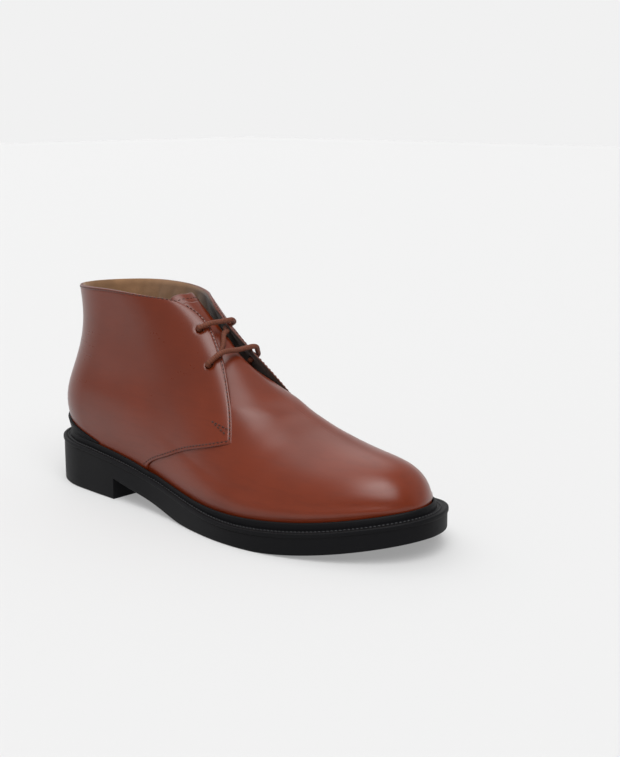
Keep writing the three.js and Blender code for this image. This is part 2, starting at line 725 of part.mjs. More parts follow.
// A bar runs from each eyelet to the facing's edge, and straight across the throat between them
const towardEdge = (eyelet, at, share) => {
  const edgeX = stationX(at);
  const x = eyelet.x + (edgeX - eyelet.x) * share;
  const z = eyelet.z + (edgeZ(edgeX) - eyelet.z) * share;
  return onLast(x, z, eyelet.side, laceOver + 0.1 * LACE_EASE).point;
};
const bar = (near, far, at) => {
  const nearEdge = towardEdge(near, at, 1);
  const farEdge = towardEdge(far, at, 1);
  const middle = nearEdge.clone().lerp(farEdge, 0.5);
  return [towardEdge(far, at, 0.5), farEdge, middle, nearEdge, towardEdge(near, at, 0.5)];
};
// The crossing lies under the near facing at first, swung forward of the straight way
const underFacing = (near, at, share, forward) => {
  const x = near.x + (stationX(at) - near.x) * share + forward;
  const z = near.z + (ridgeZ(stationX(at)) - near.z) * share;
  return onLast(x, z, near.side, laceUnder).point;
};
const diagonal = (near, far, at) => [
  underFacing(near, at, 0.3, 0.8 * LACE_DIAMETER),
  underFacing(near, at, 0.65, LACE_DIAMETER),
  onRidge(at, laceUnder + 0.5 * LACE_EASE),
  towardRidge(far, at, 0.75, laceUnder),
  towardRidge(far, at, 0.35, laceUnder),
];
const inward = ({ x, z, side }) => {
  const middle = (quarterSkin + innerSkin) / 2;
  const depths = [laceOver - LACE_EASE, middle, laceUnder + LACE_EASE];
  return depths.map((growth) => onLast(x, z, side, growth).point);
};
const tail = ({ x, z, side }) => [0.4, 0.7].map((share) => {
  return onLast(x - LACE_TAIL * share, z - LACE_TAIL * share, side, laceUnder).point;
});
const laceRoute = [
  ...tail(lowFar).reverse(),
  ...inward(lowFar).reverse(),
  ...bar(lowNear, lowFar, LOW_BAR_AT),
  ...inward(lowNear),
  ...diagonal(lowNear, topFar, CROSSING_AT),
  ...inward(topFar).reverse(),
  ...bar(topNear, topFar, TOP_BAR_AT),
  ...inward(topNear),
  ...tail(topNear),
];
const laceCurve = new THREE.CatmullRomCurve3(laceRoute, false, 'centripetal');
const laceSection = new THREE.Shape();
laceSection.absarc(0, 0, laceRadius, 0, 2 * Math.PI, false);
const laceGeometry = new THREE.ExtrudeGeometry(laceSection, {
  steps: 80,
  curveSegments: 4,
  bevelEnabled: false,
  extrudePath: laceCurve,
});
const laceBody = bodyOfGeometry(laceGeometry);

// Looks
const leather = new THREE.MeshStandardMaterial({ color: 0x8a4630, roughness: 0.38, metalness: 0 });
const tongueLeather = new THREE.MeshStandardMaterial({ color: 0x7a3d28, roughness: 0.5, metalness: 0 });
const rubber = new THREE.MeshStandardMaterial({ color: 0x1f1f21, roughness: 0.62, metalness: 0 });
const lining = new THREE.MeshStandardMaterial({ color: 0x9a7350, roughness: 0.8, metalness: 0 });
const cord = new THREE.MeshStandardMaterial({ color: 0x5a3325, roughness: 0.85, metalness: 0 });

function meshOf(name, body, material) {
  const source = body.getMesh();
  const geometry = new THREE.BufferGeometry();
  const positions = new Float32Array(source.vertProperties);
  geometry.setAttribute('position', new THREE.BufferAttribute(positions, 3));
  geometry.setIndex(new THREE.BufferAttribute(new Uint32Array(source.triVerts), 1));
  geometry.computeVertexNormals();
  const mesh = new THREE.Mesh(geometry, material);
  mesh.name = name;
  return mesh;
}

const boot = new THREE.Group();
boot.add(meshOf('outsole', outsoleBody, rubber));
boot.add(meshOf('welt', weltBody, rubber));
boot.add(meshOf('heel_guard', guardBody, rubber));
boot.add(meshOf('insole', insoleBody, lining));
boot.add(meshOf('upper', upperBody, leather));
boot.add(meshOf('tongue', tongueBody, tongueLeather));
boot.add(meshOf('lace', laceBody, cord));

export default boot;
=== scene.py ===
"""Looks of a chukka boot for the right foot: leather, stitching, lace and rubber sole.

Metres. X runs to the toe, Y to the inner side of the foot, Z up.
The origin is on the ground, under the middle of the heel.
"""
import math

import bpy
import numpy as np
from mathutils import Matrix, Vector


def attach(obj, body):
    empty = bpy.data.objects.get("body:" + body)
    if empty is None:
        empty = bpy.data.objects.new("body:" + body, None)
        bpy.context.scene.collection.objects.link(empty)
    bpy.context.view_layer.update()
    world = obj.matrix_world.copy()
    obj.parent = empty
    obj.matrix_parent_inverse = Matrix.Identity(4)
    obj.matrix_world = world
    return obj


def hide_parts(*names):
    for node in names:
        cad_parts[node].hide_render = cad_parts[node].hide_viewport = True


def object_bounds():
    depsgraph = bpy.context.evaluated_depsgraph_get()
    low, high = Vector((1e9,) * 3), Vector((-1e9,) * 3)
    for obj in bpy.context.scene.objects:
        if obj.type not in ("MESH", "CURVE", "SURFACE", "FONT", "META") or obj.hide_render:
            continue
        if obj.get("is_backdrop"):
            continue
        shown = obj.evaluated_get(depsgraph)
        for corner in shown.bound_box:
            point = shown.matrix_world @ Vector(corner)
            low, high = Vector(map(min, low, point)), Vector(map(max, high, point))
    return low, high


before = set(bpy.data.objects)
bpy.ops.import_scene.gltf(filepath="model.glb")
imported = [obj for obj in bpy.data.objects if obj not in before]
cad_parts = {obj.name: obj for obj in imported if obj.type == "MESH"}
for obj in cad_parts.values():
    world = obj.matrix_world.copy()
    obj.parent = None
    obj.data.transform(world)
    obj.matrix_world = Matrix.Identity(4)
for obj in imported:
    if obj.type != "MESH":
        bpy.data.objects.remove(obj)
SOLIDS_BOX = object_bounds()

bl_info = {
    "name": "Chukka boot",
    "version": (1, 0, 0),
    "blender": (4, 5, 0),
    "location": "3D View > Sidebar > Boot",
    "description": "Makes a leather chukka boot on a welted rubber sole",
    "category": "Add Mesh",
}

MM = 0.001
LATERAL = -1
MEDIAL = 1
SIDES = (LATERAL, MEDIAL)

# Last
LAST_LENGTH = 286 * MM
HEEL_TO_ORIGIN = 30 * MM
BALL_WIDTH = 96 * MM
HEEL_WIDTH = 68 * MM
INSTEP_HEIGHT = 85 * MM
COLLAR_HEIGHT = 129 * MM
FOREFOOT_STACK = 16 * MM
HEEL_STACK = 32.8 * MM
TOE_SPRING = 12 * MM

# Gap between pieces that are bonded or sewn
FIT = 0.35 * MM

# Sole
WELT_THICKNESS = 3 * MM
HEEL_LENGTH = 85 * MM
BREAST_HEIGHT = 13.4 * MM
FLAT_FROM = 168 * MM
FLAT_TO = 220 * MM
SOLE_TOE_LIFT = 12.5 * MM

# Plan of the upper's lower edge: station, centre, outer and inner half widths of the ball width
PLAN = (
    (-0.13, -0.02, 0.38, 0.345),
    (0.08, -0.02, 0.34, 0.345),
    (0.2, -0.02, 0.36, 0.332),
    (0.32, -0.02, 0.383, 0.321),
    (0.445, -0.01, 0.438, 0.346),
    (0.55, 0.01, 0.51, 0.396),
    (0.635, 0.031, 0.552, 0.43),
    (0.706, 0.047, 0.556, 0.446),
    (0.776, 0.057, 0.523, 0.442),
    (0.846, 0.062, 0.455, 0.415),
    (0.902, 0.062, 0.37, 0.368),
    (0.951, 0.057, 0.26, 0.28),
    (0.986, 0.052, 0.136, 0.155),
    (1, 0.052, 0, 0),
)

# Height of the lower edge: station, share of the heel's extra stack, share of the toe spring
FEATHER = (
    (-0.03, 1, 0),
    (0.11, 0.99, 0),
    (0.217, 0.88, 0),
    (0.322, 0.68, 0),
    (0.427, 0.39, 0),
    (0.531, 0.125, 0),
    (0.636, 0, 0),
    (0.741, 0, 0.07),
    (0.846, 0, 0.31),
    (0.934, 0, 0.67),
    (1, 0, 1),
)

# Ridge of the foot over the lower edge: station, share of the instep height
RIDGE = (
    (0.322, 1.422),
    (0.364, 1.334),
    (0.409, 1.235),
    (0.4615, 1.118),
    (0.514, 1.002),
    (0.566, 0.889),
    (0.619, 0.754),
    (0.671, 0.634),
    (0.724, 0.552),
    (0.776, 0.479),
    (0.829, 0.415),
    (0.874, 0.368),
    (0.916, 0.317),
    (0.951, 0.25),
    (0.979, 0.15),
    (0.994, 0.058),
    (1, 0),
)

# Fullness of the forefoot: station, crown of the top, shoulder of the side
FULLNESS = (
    (0.31, 1.47, 2),
    (0.5, 1.47, 2),
    (0.636, 1.62, 2),
    (0.776, 1.82, 2),
    (0.881, 2.02, 2.05),
    (1, 2.02, 2.1),
)

# Back of the heel: share of the collar height, setback of the last length
BACK = (
    (0.26, 0.012),
    (0.325, 0.002),
    (0.403, -0.002),
    (0.496, 0.004),
    (0.605, 0.018),
    (0.713, 0.031),
    (0.822, 0.036),
    (0.915, 0.033),
    (1.008, 0.026),
    (1.085, 0.02),
)

# Level sections of the rear: height, outer and inner half widths, rounding at back and front
SHAFT = (
    (0.26, 0.538, 0.487, 0.132, 0.3125),
    (0.357, 0.551, 0.507, 0.132, 0.295),
    (0.481, 0.518, 0.491, 0.132, 0.278),
    (0.62, 0.449, 0.454, 0.132, 0.25),
    (0.76, 0.399, 0.426, 0.139, 0.222),
    (0.884, 0.379, 0.419, 0.146, 0.194),
    (1.008, 0.382, 0.426, 0.153, 0.181),
    (1.124, 0.39, 0.429, 0.16, 0.174),
)

# Free edge of the quarters, collar first: station, share of the collar height
QUARTER_EDGE = (
    (-0.15, 1),
    (0.012, 1.003),
    (0.112, 1.014),
    (0.217, 1.019),
    (0.308, 1.009),
    (0.343, 1.002),
    (0.371, 0.993),
    (0.392, 0.98),
    (0.42, 0.95),
    (0.4475, 0.907),
    (0.4755, 0.851),
    (0.5035, 0.787),
    (0.5315, 0.72),
    (0.5595, 0.643),
    (0.5805, 0.58),
    (0.6015, 0.508),
    (0.623, 0.414),
)

# Lower edge of the quarters, from the welt up to the front corner: station, share of collar height
QUARTER_FOOT = (
    (0.345, 0.165),
    (0.3795, 0.225),
    (0.437, 0.282),
    (0.486, 0.327),
    (0.5645, 0.377),
    (0.623, 0.414),
)
TURN_AT = 0.385
CORNER_AT = 0.623

# Eyelets: station, share of the collar height
EYELETS = (
    (0.448, 0.868),
    (0.502, 0.718),
)
TOP_BAR_AT = 0.46
LOW_BAR_AT = 0.514
CROSSING_AT = 0.4795

# Reach of the welt beyond the upper: station, share of the full reach
WELT_PLAN = (
    (-0.1, 1),
    (0.2, 1),
    (0.31, 0.88),
    (0.39, 0.7),
    (0.55, 0.7),
    (0.68, 1),
    (1.1, 1),
)

# Drop of the welt's top below the lower edge: station, welt thicknesses
WELT_DROP = (
    (-0.1, 1),
    (0.2, 1.05),
    (0.38, 0.88),
    (0.56, 0.85),
    (0.66, 1.2),
    (0.8, 1.32),
    (0.94, 1.2),
    (1.06, 1.1),
)

# Underside of the waist, breast first: station, share of the breast height
ARCH = (
    (0.269, 1),
    (0.34, 0.7),
    (0.399, 0.48),
    (0.4475, 0.26),
    (0.5, 0.06),
    (0.56, 0),
)

# Tongue below the last's surface: station on the ridge, depth in millimetres
TONGUE_DEPTH = (
    (0.357, 8.4),
    (0.381, 7.9),
    (0.406, 7.4),
    (0.434, 6.8),
    (0.465, 6.4),
    (0.4965, 6.2),
    (0.5315, 5.4),
    (0.559, 4.8),
    (0.587, 3.9),
    (0.615, 2.6),
    (0.643, 1.4),
    (0.664, 0.6),
    (0.692, 0.4),
)
# How much deeper the vamp lies under the inner facing
INNER_SINK = 0.6

# Hidden rear edge of the vamp and sides of the tongue: height of collar, station
HIDDEN_EDGE = (
    (0.19, 0.312),
    (0.25, 0.34),
    (0.33, 0.405),
    (0.42, 0.468),
    (0.51, 0.482),
    (0.62, 0.458),
    (0.74, 0.415),
    (0.84, 0.372),
    (0.92, 0.335),
    (1, 0.31),
    (1.1, 0.29),
)


class Curve:
    """Natural cubic through knots, straight beyond its ends."""

    def __init__(self, knots, values):
        self.knots = np.asarray(knots, float)
        self.values = np.asarray(values, float)
        step = np.diff(self.knots)
        slope = np.diff(self.values) / step
        matrix = np.eye(len(self.knots))
        wanted = np.zeros(len(self.knots))
        for i in range(1, len(step)):
            matrix[i, i - 1:i + 2] = step[i - 1], 2 * (step[i - 1] + step[i]), step[i]
            wanted[i] = 6 * (slope[i] - slope[i - 1])
        self.bend = np.linalg.solve(matrix, wanted)
        self.start = slope[0] - step[0] * self.bend[1] / 6
        self.end = slope[-1] + step[-1] * self.bend[-2] / 6

    def __call__(self, x):
        x = np.asarray(x, float)
        knots, bend = self.knots, self.bend
        inside = np.clip(x, knots[0], knots[-1])
        i = np.clip(np.searchsorted(knots, inside, side="right") - 1, 0, len(knots) - 2)
        h = knots[i + 1] - knots[i]
        a = (knots[i + 1] - inside) / h
        b = (inside - knots[i]) / h
        curve = ((a**3 - a) * bend[i] + (b**3 - b) * bend[i + 1]) * h * h / 6
        straight = np.minimum(x - knots[0], 0) * self.start + np.maximum(x - knots[-1], 0) * self.end
        return a * self.values[i] + b * self.values[i + 1] + curve + straight


def ease(value):
    value = np.clip(value, 0, 1)
    return value * value * (3 - 2 * value)


def soft_step(value):
    value = np.clip(value, 0, 1)
    return value**3 * (value * (6 * value - 15) + 10)


def station_x(at):
    return np.asarray(at, float) * LAST_LENGTH - HEEL_TO_ORIGIN


def station_at(x):
    return (np.asarray(x, float) + HEEL_TO_ORIGIN) / LAST_LENGTH


def toe_root(at):
    """Square root of the distance to the toe, so that the toe rounds off."""
    return -np.sqrt(np.maximum(0, 1 - np.asarray(at, float)))


def along(table, column, size=1.0):
    curve = Curve([row[0] for row in table], [row[column] * size for row in table])
    return lambda x: curve(station_at(x))


def along_round(table, column, size):
    curve = Curve([toe_root(row[0]) for row in table], [row[column] * size for row in table])
    return lambda x: curve(toe_root(station_at(x)))


def upward(table, column, size):
    return Curve([row[0] * COLLAR_HEIGHT for row in table], [row[column] * size for row in table])


TOE_X = LAST_LENGTH - HEEL_TO_ORIGIN
heel_share = along(FEATHER, 1, HEEL_STACK - FOREFOOT_STACK)
spring_share = along(FEATHER, 2, TOE_SPRING)
centre_y = along(PLAN, 1, BALL_WIDTH)
foot_width = {LATERAL: along_round(PLAN, 2, BALL_WIDTH), MEDIAL: along_round(PLAN, 3, BALL_WIDTH)}
ridge_rise = along_round(RIDGE, 1, INSTEP_HEIGHT)
crown = along(FULLNESS, 1)
shoulder = along(FULLNESS, 2)
setback = upward(BACK, 1, LAST_LENGTH)
shaft_width = {LATERAL: upward(SHAFT, 1, HEEL_WIDTH), MEDIAL: upward(SHAFT, 2, HEEL_WIDTH)}
back_round = upward(SHAFT, 3, LAST_LENGTH)
front_round = upward(SHAFT, 4, LAST_LENGTH)
edge_height = along(QUARTER_EDGE, 1, COLLAR_HEIGHT)
foot_height = along(QUARTER_FOOT, 1, COLLAR_HEIGHT)
welt_share = along(WELT_PLAN, 1)
welt_drop = along(WELT_DROP, 1, WELT_THICKNESS)
arch_lift = along(ARCH, 1, BREAST_HEIGHT)
tongue_depth = along(TONGUE_DEPTH, 1, MM)
hidden_at = Curve([row[0] * COLLAR_HEIGHT for row in HIDDEN_EDGE], [row[1] for row in HIDDEN_EDGE])


def feather_z(x):
    """Height of the upper's lower edge."""
    return FOREFOOT_STACK + heel_share(x) + spring_share(x)


def ridge_z(x):
    return feather_z(x) + ridge_rise(x)


def heel_back_x(z):
    return setback(z) - HEEL_TO_ORIGIN


def welt_z(x):
    return feather_z(x) - welt_drop(x)


def seat_z(x):
    return welt_z(x) - WELT_THICKNESS


RIDGE_TOP_AT = 0.322
walk = (np.arange(1201) / 1200) ** 2
walk_x = TOE_X - (1 - RIDGE_TOP_AT) * LAST_LENGTH * walk
walk_z = ridge_z(walk_x)
walk_step = np.hypot(np.diff(walk_x), np.diff(walk_z))
walk_length = np.concatenate([[0], np.cumsum(walk_step)])


def half_width(x, z, side):
    """Half width of the last at a place in the side view."""
    foot = foot_width[side](x)
    rise = np.clip((z - feather_z(x)) / np.maximum(ridge_rise(x), 1e-9), 0, 1)
    low = np.clip(4 * rise, 0, 1)
    swell = 4 * MM * low * (1 - low) * np.clip(-6 * toe_root(station_at(x)), 0, 1)
    front = foot * (1 - rise ** crown(x)) ** (1 / shoulder(x)) + swell
    level = foot + (shaft_width[side](z) - foot) * ease((z - feather_z(x)) / (42 * MM))
    behind = np.clip(1 - (x - heel_back_x(z)) / back_round(z), 0, 1) ** 2.15
    front_x = np.interp(z, walk_z, walk_x)
    ahead = np.clip(1 - (front_x - x) / front_round(z), 0, 1) ** 2.1
    rear = level * np.sqrt(np.maximum(0, 1 - behind - ahead))
    share = soft_step((station_at(x) - 0.245) / (0.573 - 0.245))
    return rear * (1 - share) + front * share


def place(x, z, side):
    """Place on the last, seen from the side at x and z."""
    x, z = np.broadcast_arrays(np.asarray(x, float), np.asarray(z, float))
    return np.stack([x, centre_y(x) + side * half_width(x, z, side), z], axis=-1)


def unit(vectors):
    length = np.linalg.norm(vectors, axis=-1, keepdims=True)
    return vectors / np.maximum(length, 1e-12)


def way_out(x, z, side):
    """Outward direction of the last at x and z."""
    reach = 0.4 * MM
    along_x = place(x + reach, z, side) - place(x - reach, z, side)
    along_z = place(x, z + reach, side) - place(x, z - reach, side)
    return unit(np.cross(along_z, along_x) * side)


def on_last(x, z, side, growth):
    return place(x, z, side) + way_out(x, z, side) * growth


def on_ridge(at, growth):
    x = float(station_x(at))
    slope = float(ridge_z(x + MM) - ridge_z(x - MM)) / (2 * MM)
    size = math.hypot(1, slope)
    return np.array([x - slope * growth / size, float(centre_y(x)), float(ridge_z(x)) + growth / size])


def resample(line, shares):
    """Places along a line of points, at shares of its length."""
    step = np.linalg.norm(np.diff(line, axis=0), axis=1)
    length = np.concatenate([[0], np.cumsum(step)])
    wanted = np.asarray(shares) * length[-1]
    return np.stack([np.interp(wanted, length, line[:, k]) for k in range(line.shape[1])], axis=-1)


def through(route, fineness=16):
    """Smooth curve through places, without overshoot between near and far ones."""
    route = np.concatenate([[2 * route[0] - route[1]], route, [2 * route[-1] - route[-2]]])
    line = []
    for i in range(1, len(route) - 2):
        a, b, c, d = route[i - 1:i + 3]
        t0 = math.sqrt(np.linalg.norm(b - a))
        t1 = t0 + math.sqrt(np.linalg.norm(c - b))
        t2 = t1 + math.sqrt(np.linalg.norm(d - c))
        for t in np.linspace(t0, t1, fineness, endpoint=False):
            ab = (a * (t0 - t) + b * t) / t0
            bc = (b * (t1 - t) + c * (t - t0)) / (t1 - t0)
            cd = (c * (t2 - t) + d * (t - t1)) / (t2 - t1)
            first = (ab * (t1 - t) + bc * t) / t1
            second = (bc * (t2 - t) + cd * (t - t0)) / (t2 - t0)
            line.append((first * (t1 - t) + second * (t - t0)) / (t1 - t0))
    line.append(route[-2])
    return np.array(line)


def grid_normals(grid):
    """Directions square to a grid of places, on the side that faces away from the foot."""
    normal = unit(np.cross(np.gradient(grid, axis=1), np.gradient(grid, axis=0)))
    inside = np.array([0, 0, 0.3 * COLLAR_HEIGHT]) + grid * np.array([1, 0, 0])
    facing = np.sum(normal * (grid - inside), axis=-1)
    return normal * np.sign(np.median(facing))


def length_from(grid, axis, from_end=False):
    """Distance along each line of a grid, from its start or its end."""
    step = np.linalg.norm(np.diff(grid, axis=axis), axis=-1)
    shape = list(step.shape)
    shape[axis] = 1
    total = np.concatenate([np.zeros(shape), np.cumsum(step, axis=axis)], axis=axis)
    if from_end:
        total = np.take(total, [-1], axis=axis) - total
    return total


def rounded(distance, radius):
    """Drop of a rounded edge at a distance from it."""
    short = np.clip(radius - distance, 0, radius)
    return radius - np.sqrt(np.maximum(radius**2 - short**2, 0))


class Form:
    """Points and faces of a piece in the making."""

    def __init__(self):
        self.points = []
        self.faces = []
        self.kinds = []
        self.marks = []
        self.count = 0

    def add_points(self, points, mark=None):
        """Adds points with a mark each, and gives their numbers back."""
        points = np.asarray(points, float)
        flat = points.reshape(-1, 3)
        numbers = np.arange(self.count, self.count + len(flat)).reshape(points.shape[:-1])
        self.points.append(flat)
        marks = np.zeros(len(flat)) if mark is None else np.broadcast_to(mark, points.shape[:-1]).reshape(-1)
        self.marks.append(marks)
        self.count += len(flat)
        return numbers

    def add_faces(self, faces, kind=0):
        faces = [tuple(int(k) for k in face) for face in faces]
        self.faces.extend(faces)
        self.kinds.extend([kind] * len(faces))

    def add_grid(self, numbers, kind=0, flip=False, close=False, keep=None):
        """Adds the faces of a grid of point numbers."""
        a, b = numbers[:-1, :-1], numbers[:-1, 1:]
        c, d = numbers[1:, 1:], numbers[1:, :-1]
        quads = np.stack([a, b, c, d], axis=-1)
        if close:
            ring = np.stack([numbers[:-1, -1], numbers[:-1, 0], numbers[1:, 0], numbers[1:, -1]], axis=-1)
            quads = np.concatenate([quads, ring[:, None]], axis=1)
        if flip:
            quads = quads[..., ::-1]
        quads = quads[keep] if keep is not None else quads.reshape(-1, 4)
        self.add_faces(quads, kind)

    def make(self, name, materials, mark_name="edge", sharp=None):
        mesh = bpy.data.meshes.new(name)
        points = np.concatenate(self.points)
        mesh.from_pydata(points.tolist(), [], self.faces)
        mark = mesh.attributes.new(mark_name, "FLOAT", "POINT")
        mark.data.foreach_set("value", np.concatenate(self.marks).astype(np.float32))
        for material in materials:
            mesh.materials.append(material)
        mesh.polygons.foreach_set("material_index", self.kinds)
        mesh.polygons.foreach_set("use_smooth", [True] * len(self.faces))
        mesh.update()
        if mesh.validate():
            raise RuntimeError(name + " has a fault in its faces")
        if sharp is not None:
            mesh.set_sharp_from_angle(angle=sharp)
        piece = bpy.data.objects.new(name, mesh)
        bpy.context.collection.objects.link(piece)
        return piece


def border(shape):
    """Rows and columns round a grid, in order."""
    rows, columns = shape
    path = [(0, j) for j in range(columns)]
    path += [(i, columns - 1) for i in range(1, rows)]
    path += [(rows - 1, j) for j in range(columns - 2, -1, -1)]
    path += [(i, 0) for i in range(rows - 2, 0, -1)]
    return tuple(np.array(path).T)


def add_shell(form, outer, inner, mark, keep, kinds=(0, 1, 2)):
    """Closes two grids into one sheet with a thickness and rounded edges."""
    outer_numbers = form.add_points(outer, mark)
    inner_numbers = form.add_points(inner, mark)
    form.add_grid(outer_numbers, kinds[0], flip=True, keep=keep)
    form.add_grid(inner_numbers, kinds[1], keep=keep)
    rim = border(outer.shape[:2])
    start, end = outer[rim], inner[rim]
    loops = [outer_numbers[rim]]
    for share in (0.33, 0.67):
        loops.append(form.add_points(start + (end - start) * share))
    loops.append(inner_numbers[rim])
    form.add_grid(np.array(loops), kinds[2], close=True)
    holes = ~keep
    for i, j in zip(*np.nonzero(holes)):
        corners = [(i, j), (i, j + 1), (i + 1, j + 1), (i + 1, j)]
        beside = [(i - 1, j), (i, j + 1), (i + 1, j), (i, j - 1)]
        for k in range(4):
            if keep[beside[k]]:
                a, b = corners[k], corners[(k + 1) % 4]
                face = (outer_numbers[a], inner_numbers[a], inner_numbers[b], outer_numbers[b])
                form.add_faces([face], kinds[2])


def cut_holes(outer, inner, centres, radius):
    """Opens round holes through two grids, and says which faces stay."""
    middle = (outer[:-1, :-1] + outer[:-1, 1:] + outer[1:, 1:] + outer[1:, :-1]) / 4
    keep = np.ones(middle.shape[:2], bool)
    for centre, axis in centres:
        away = middle - centre
        depth = np.abs(away @ axis)
        flat = np.linalg.norm(away - (away @ axis)[..., None] * axis, axis=-1)
        inside = (flat < radius) & (depth < 6 * MM)
        keep &= ~inside
        touched = np.zeros(outer.shape[:2], bool)
        whole = np.zeros(outer.shape[:2], int)
        for di in (0, 1):
            for dj in (0, 1):
                rows = slice(di, di + inside.shape[0])
                columns = slice(dj, dj + inside.shape[1])
                touched[rows, columns] |= inside
                whole[rows, columns] += inside
        rim = touched & (whole < 4)
        for grid in (outer, inner):
            offset = grid[rim] - centre
            level = (offset @ axis)[:, None] * axis
            grid[rim] = centre + level + unit(offset - level) * radius
    return keep


class Shade:
    """A value of a material's nodes, used in plain arithmetic."""

    def __init__(self, finish, socket):
        self.finish = finish
        self.socket = socket

    def _with(self, operation, first, second):
        return self.finish.node("ShaderNodeMath", {"operation": operation}, {0: first, 1: second})

    def __add__(self, other):
        return self._with("ADD", self, other)

    def __radd__(self, other):
        return self._with("ADD", other, self)

    def __sub__(self, other):
        return self._with("SUBTRACT", self, other)

    def __rsub__(self, other):
        return self._with("SUBTRACT", other, self)

    def __mul__(self, other):
        return self._with("MULTIPLY", self, other)

    def __rmul__(self, other):
        return self._with("MULTIPLY", other, self)

    def __truediv__(self, other):
        return self._with("DIVIDE", self, other)

    def sine(self):
        return self.finish.node("ShaderNodeMath", {"operation": "SINE"}, {0: self})

    def between(self, low, high):
        """0 at low, 1 at high, soft in between."""
        settings = {"interpolation_type": "SMOOTHSTEP"}
        values = {"Value": self, "From Min": low, "From Max": high}
        return self.finish.node("ShaderNodeMapRange", settings, values, "Result")

    def line(self, middle, half):
        """1 on a line at a value, 0 further away than half."""
        return self.between(middle - half, middle) * (1 - self.between(middle, middle + half))


class Finish:
    """A material in the making, node by node."""

    def __init__(self, name):
        self.material = bpy.data.materials.new(name)
        self.material.use_nodes = True
        self.tree = self.material.node_tree
        self.tree.nodes.clear()

    def node(self, kind, settings=None, values=None, output=0):
        """Adds a node: its settings first, then the values or links of its sockets."""
        node = self.tree.nodes.new(kind)
        for name, value in (settings or {}).items():
            if name == "stops":
                for index, (at, colour) in enumerate(value):
                    stops = node.color_ramp.elements
                    stop = stops[index] if index < 2 else stops.new(at)
                    stop.position = at
                    stop.color = colour
            else:
                setattr(node, name, value)
        for name, value in (values or {}).items():
            if isinstance(value, Shade):
                self.tree.links.new(value.socket, node.inputs[name])
            else:
                node.inputs[name].default_value = value
        return Shade(self, node.outputs[output])

    @classmethod
    def over(cls, tree):
        """Nodes in a tree that is there already, cleared first."""
        finish = cls.__new__(cls)
        finish.material = None
        finish.tree = tree
        tree.nodes.clear()
        return finish

    def spot(self, kind="Object"):
        return self.node("ShaderNodeTexCoord", output=kind)

    def dotted(self, vector, other):
        settings = {"operation": "DOT_PRODUCT"}
        return self.node("ShaderNodeVectorMath", settings, {0: vector, 1: other}, "Value")

    def stretched(self, vector, scale):
        return self.node("ShaderNodeVectorMath", {"operation": "MULTIPLY"}, {0: vector, 1: scale})

    def mark(self, name):
        return self.node("ShaderNodeAttribute", {"attribute_name": name}, output="Fac")

    def noise(self, vector, scale, detail=2.0, roughness=0.5):
        values = {"Vector": vector, "Scale": scale, "Detail": detail, "Roughness": roughness}
        return self.node("ShaderNodeTexNoise", None, values, "Fac")

    def cells(self, vector, scale, feature="F1"):
        return self.node("ShaderNodeTexVoronoi", {"feature": feature}, {"Vector": vector, "Scale": scale})

    def blend(self, first, second, mask):
        values = {0: mask, 6: first, 7: second}
        return self.node("ShaderNodeMix", {"data_type": "RGBA"}, values, 2)

    def bump(self, height, strength, distance, under=None):
        values = {"Height": height, "Strength": strength, "Distance": distance}
        if under is not None:
            values["Normal"] = under
        return self.node("ShaderNodeBump", None, values, "Normal")

    def finished(self, **values):
        """Closes the material with its surface, and gives it back."""
        named = {name.replace("_", " "): value for name, value in values.items()}
        surface = self.node("ShaderNodeBsdfPrincipled", None, named, "BSDF")
        output = self.tree.nodes.new("ShaderNodeOutputMaterial")
        self.tree.links.new(surface.socket, output.inputs["Surface"])
        return self.material


def tone(colour, factor):
    """A colour made darker or lighter, as a node wants it."""
    return (colour[0] * factor, colour[1] * factor, colour[2] * factor, 1.0)


def polished_leather(name, colour, stitch_inset):
    """Brushed calf: close grain, soft cloudy dye, darker where it is stitched and at its edges."""
    finish = Finish(name)
    spot = finish.spot()
    edge = finish.mark("edge")
    cloud = finish.noise(spot, 14.0, 3.0, 0.55)
    brushed = finish.noise(finish.stretched(spot, (60.0, 140.0, 420.0)), 1.0, 2.0)
    pores = finish.cells(spot, 1500.0)
    grain = finish.noise(spot, 900.0, 3.0, 0.6)
    dye = finish.blend(tone(colour, 0.86), tone(colour, 1.12), cloud.between(0.3, 0.7))
    dye = finish.blend(dye, tone(colour, 0.8), brushed.between(0.45, 0.75) * 0.35)
    burnish = 1 - edge.between(0.0, 1.6 * MM)
    dye = finish.blend(dye, tone(colour, 0.62), burnish * 0.6)
    groove = edge.line(stitch_inset, 0.9 * MM)
    dye = finish.blend(dye, tone(colour, 0.55), groove * 0.35)
    roughness = 0.22 + cloud * 0.06 + brushed * 0.05 + grain * 0.04
    relief = pores * 0.5 + grain * 0.6
    normal = finish.bump(relief, 0.12, 0.1 * MM)
    normal = finish.bump(1 - groove, 0.5, 0.35 * MM, normal)
    return finish.finished(
        Base_Color=dye, Roughness=roughness, Normal=normal,
        Specular_IOR_Level=0.45,
    )


def suede_lining(name, colour):
    finish = Finish(name)
    spot = finish.spot()
    nap = finish.noise(spot, 700.0, 4.0, 0.65)
    patch = finish.noise(spot, 32.0, 3.0, 0.6)
    cloth = finish.blend(tone(colour, 0.72), tone(colour, 1.2), patch.between(0.3, 0.72))
    cloth = finish.blend(cloth, tone(colour, 0.8), nap.between(0.5, 0.8) * 0.6)
    # Painted shade: much darker forward of about 5 to 7.5 cm, where the lining goes down into the throat's
    # shadow
    cloth = finish.blend(cloth, tone(colour, 0.16), finish.dotted(spot, (1.0, 0.0, 0.0)).between(0.05, 0.075))
    normal = finish.bump(nap, 0.35, 0.25 * MM)
    return finish.finished(
        Base_Color=cloth, Roughness=0.86 + nap * 0.1, Normal=normal,
        Specular_IOR_Level=0.2, Sheen_Weight=0.3, Sheen_Roughness=0.5,
    )


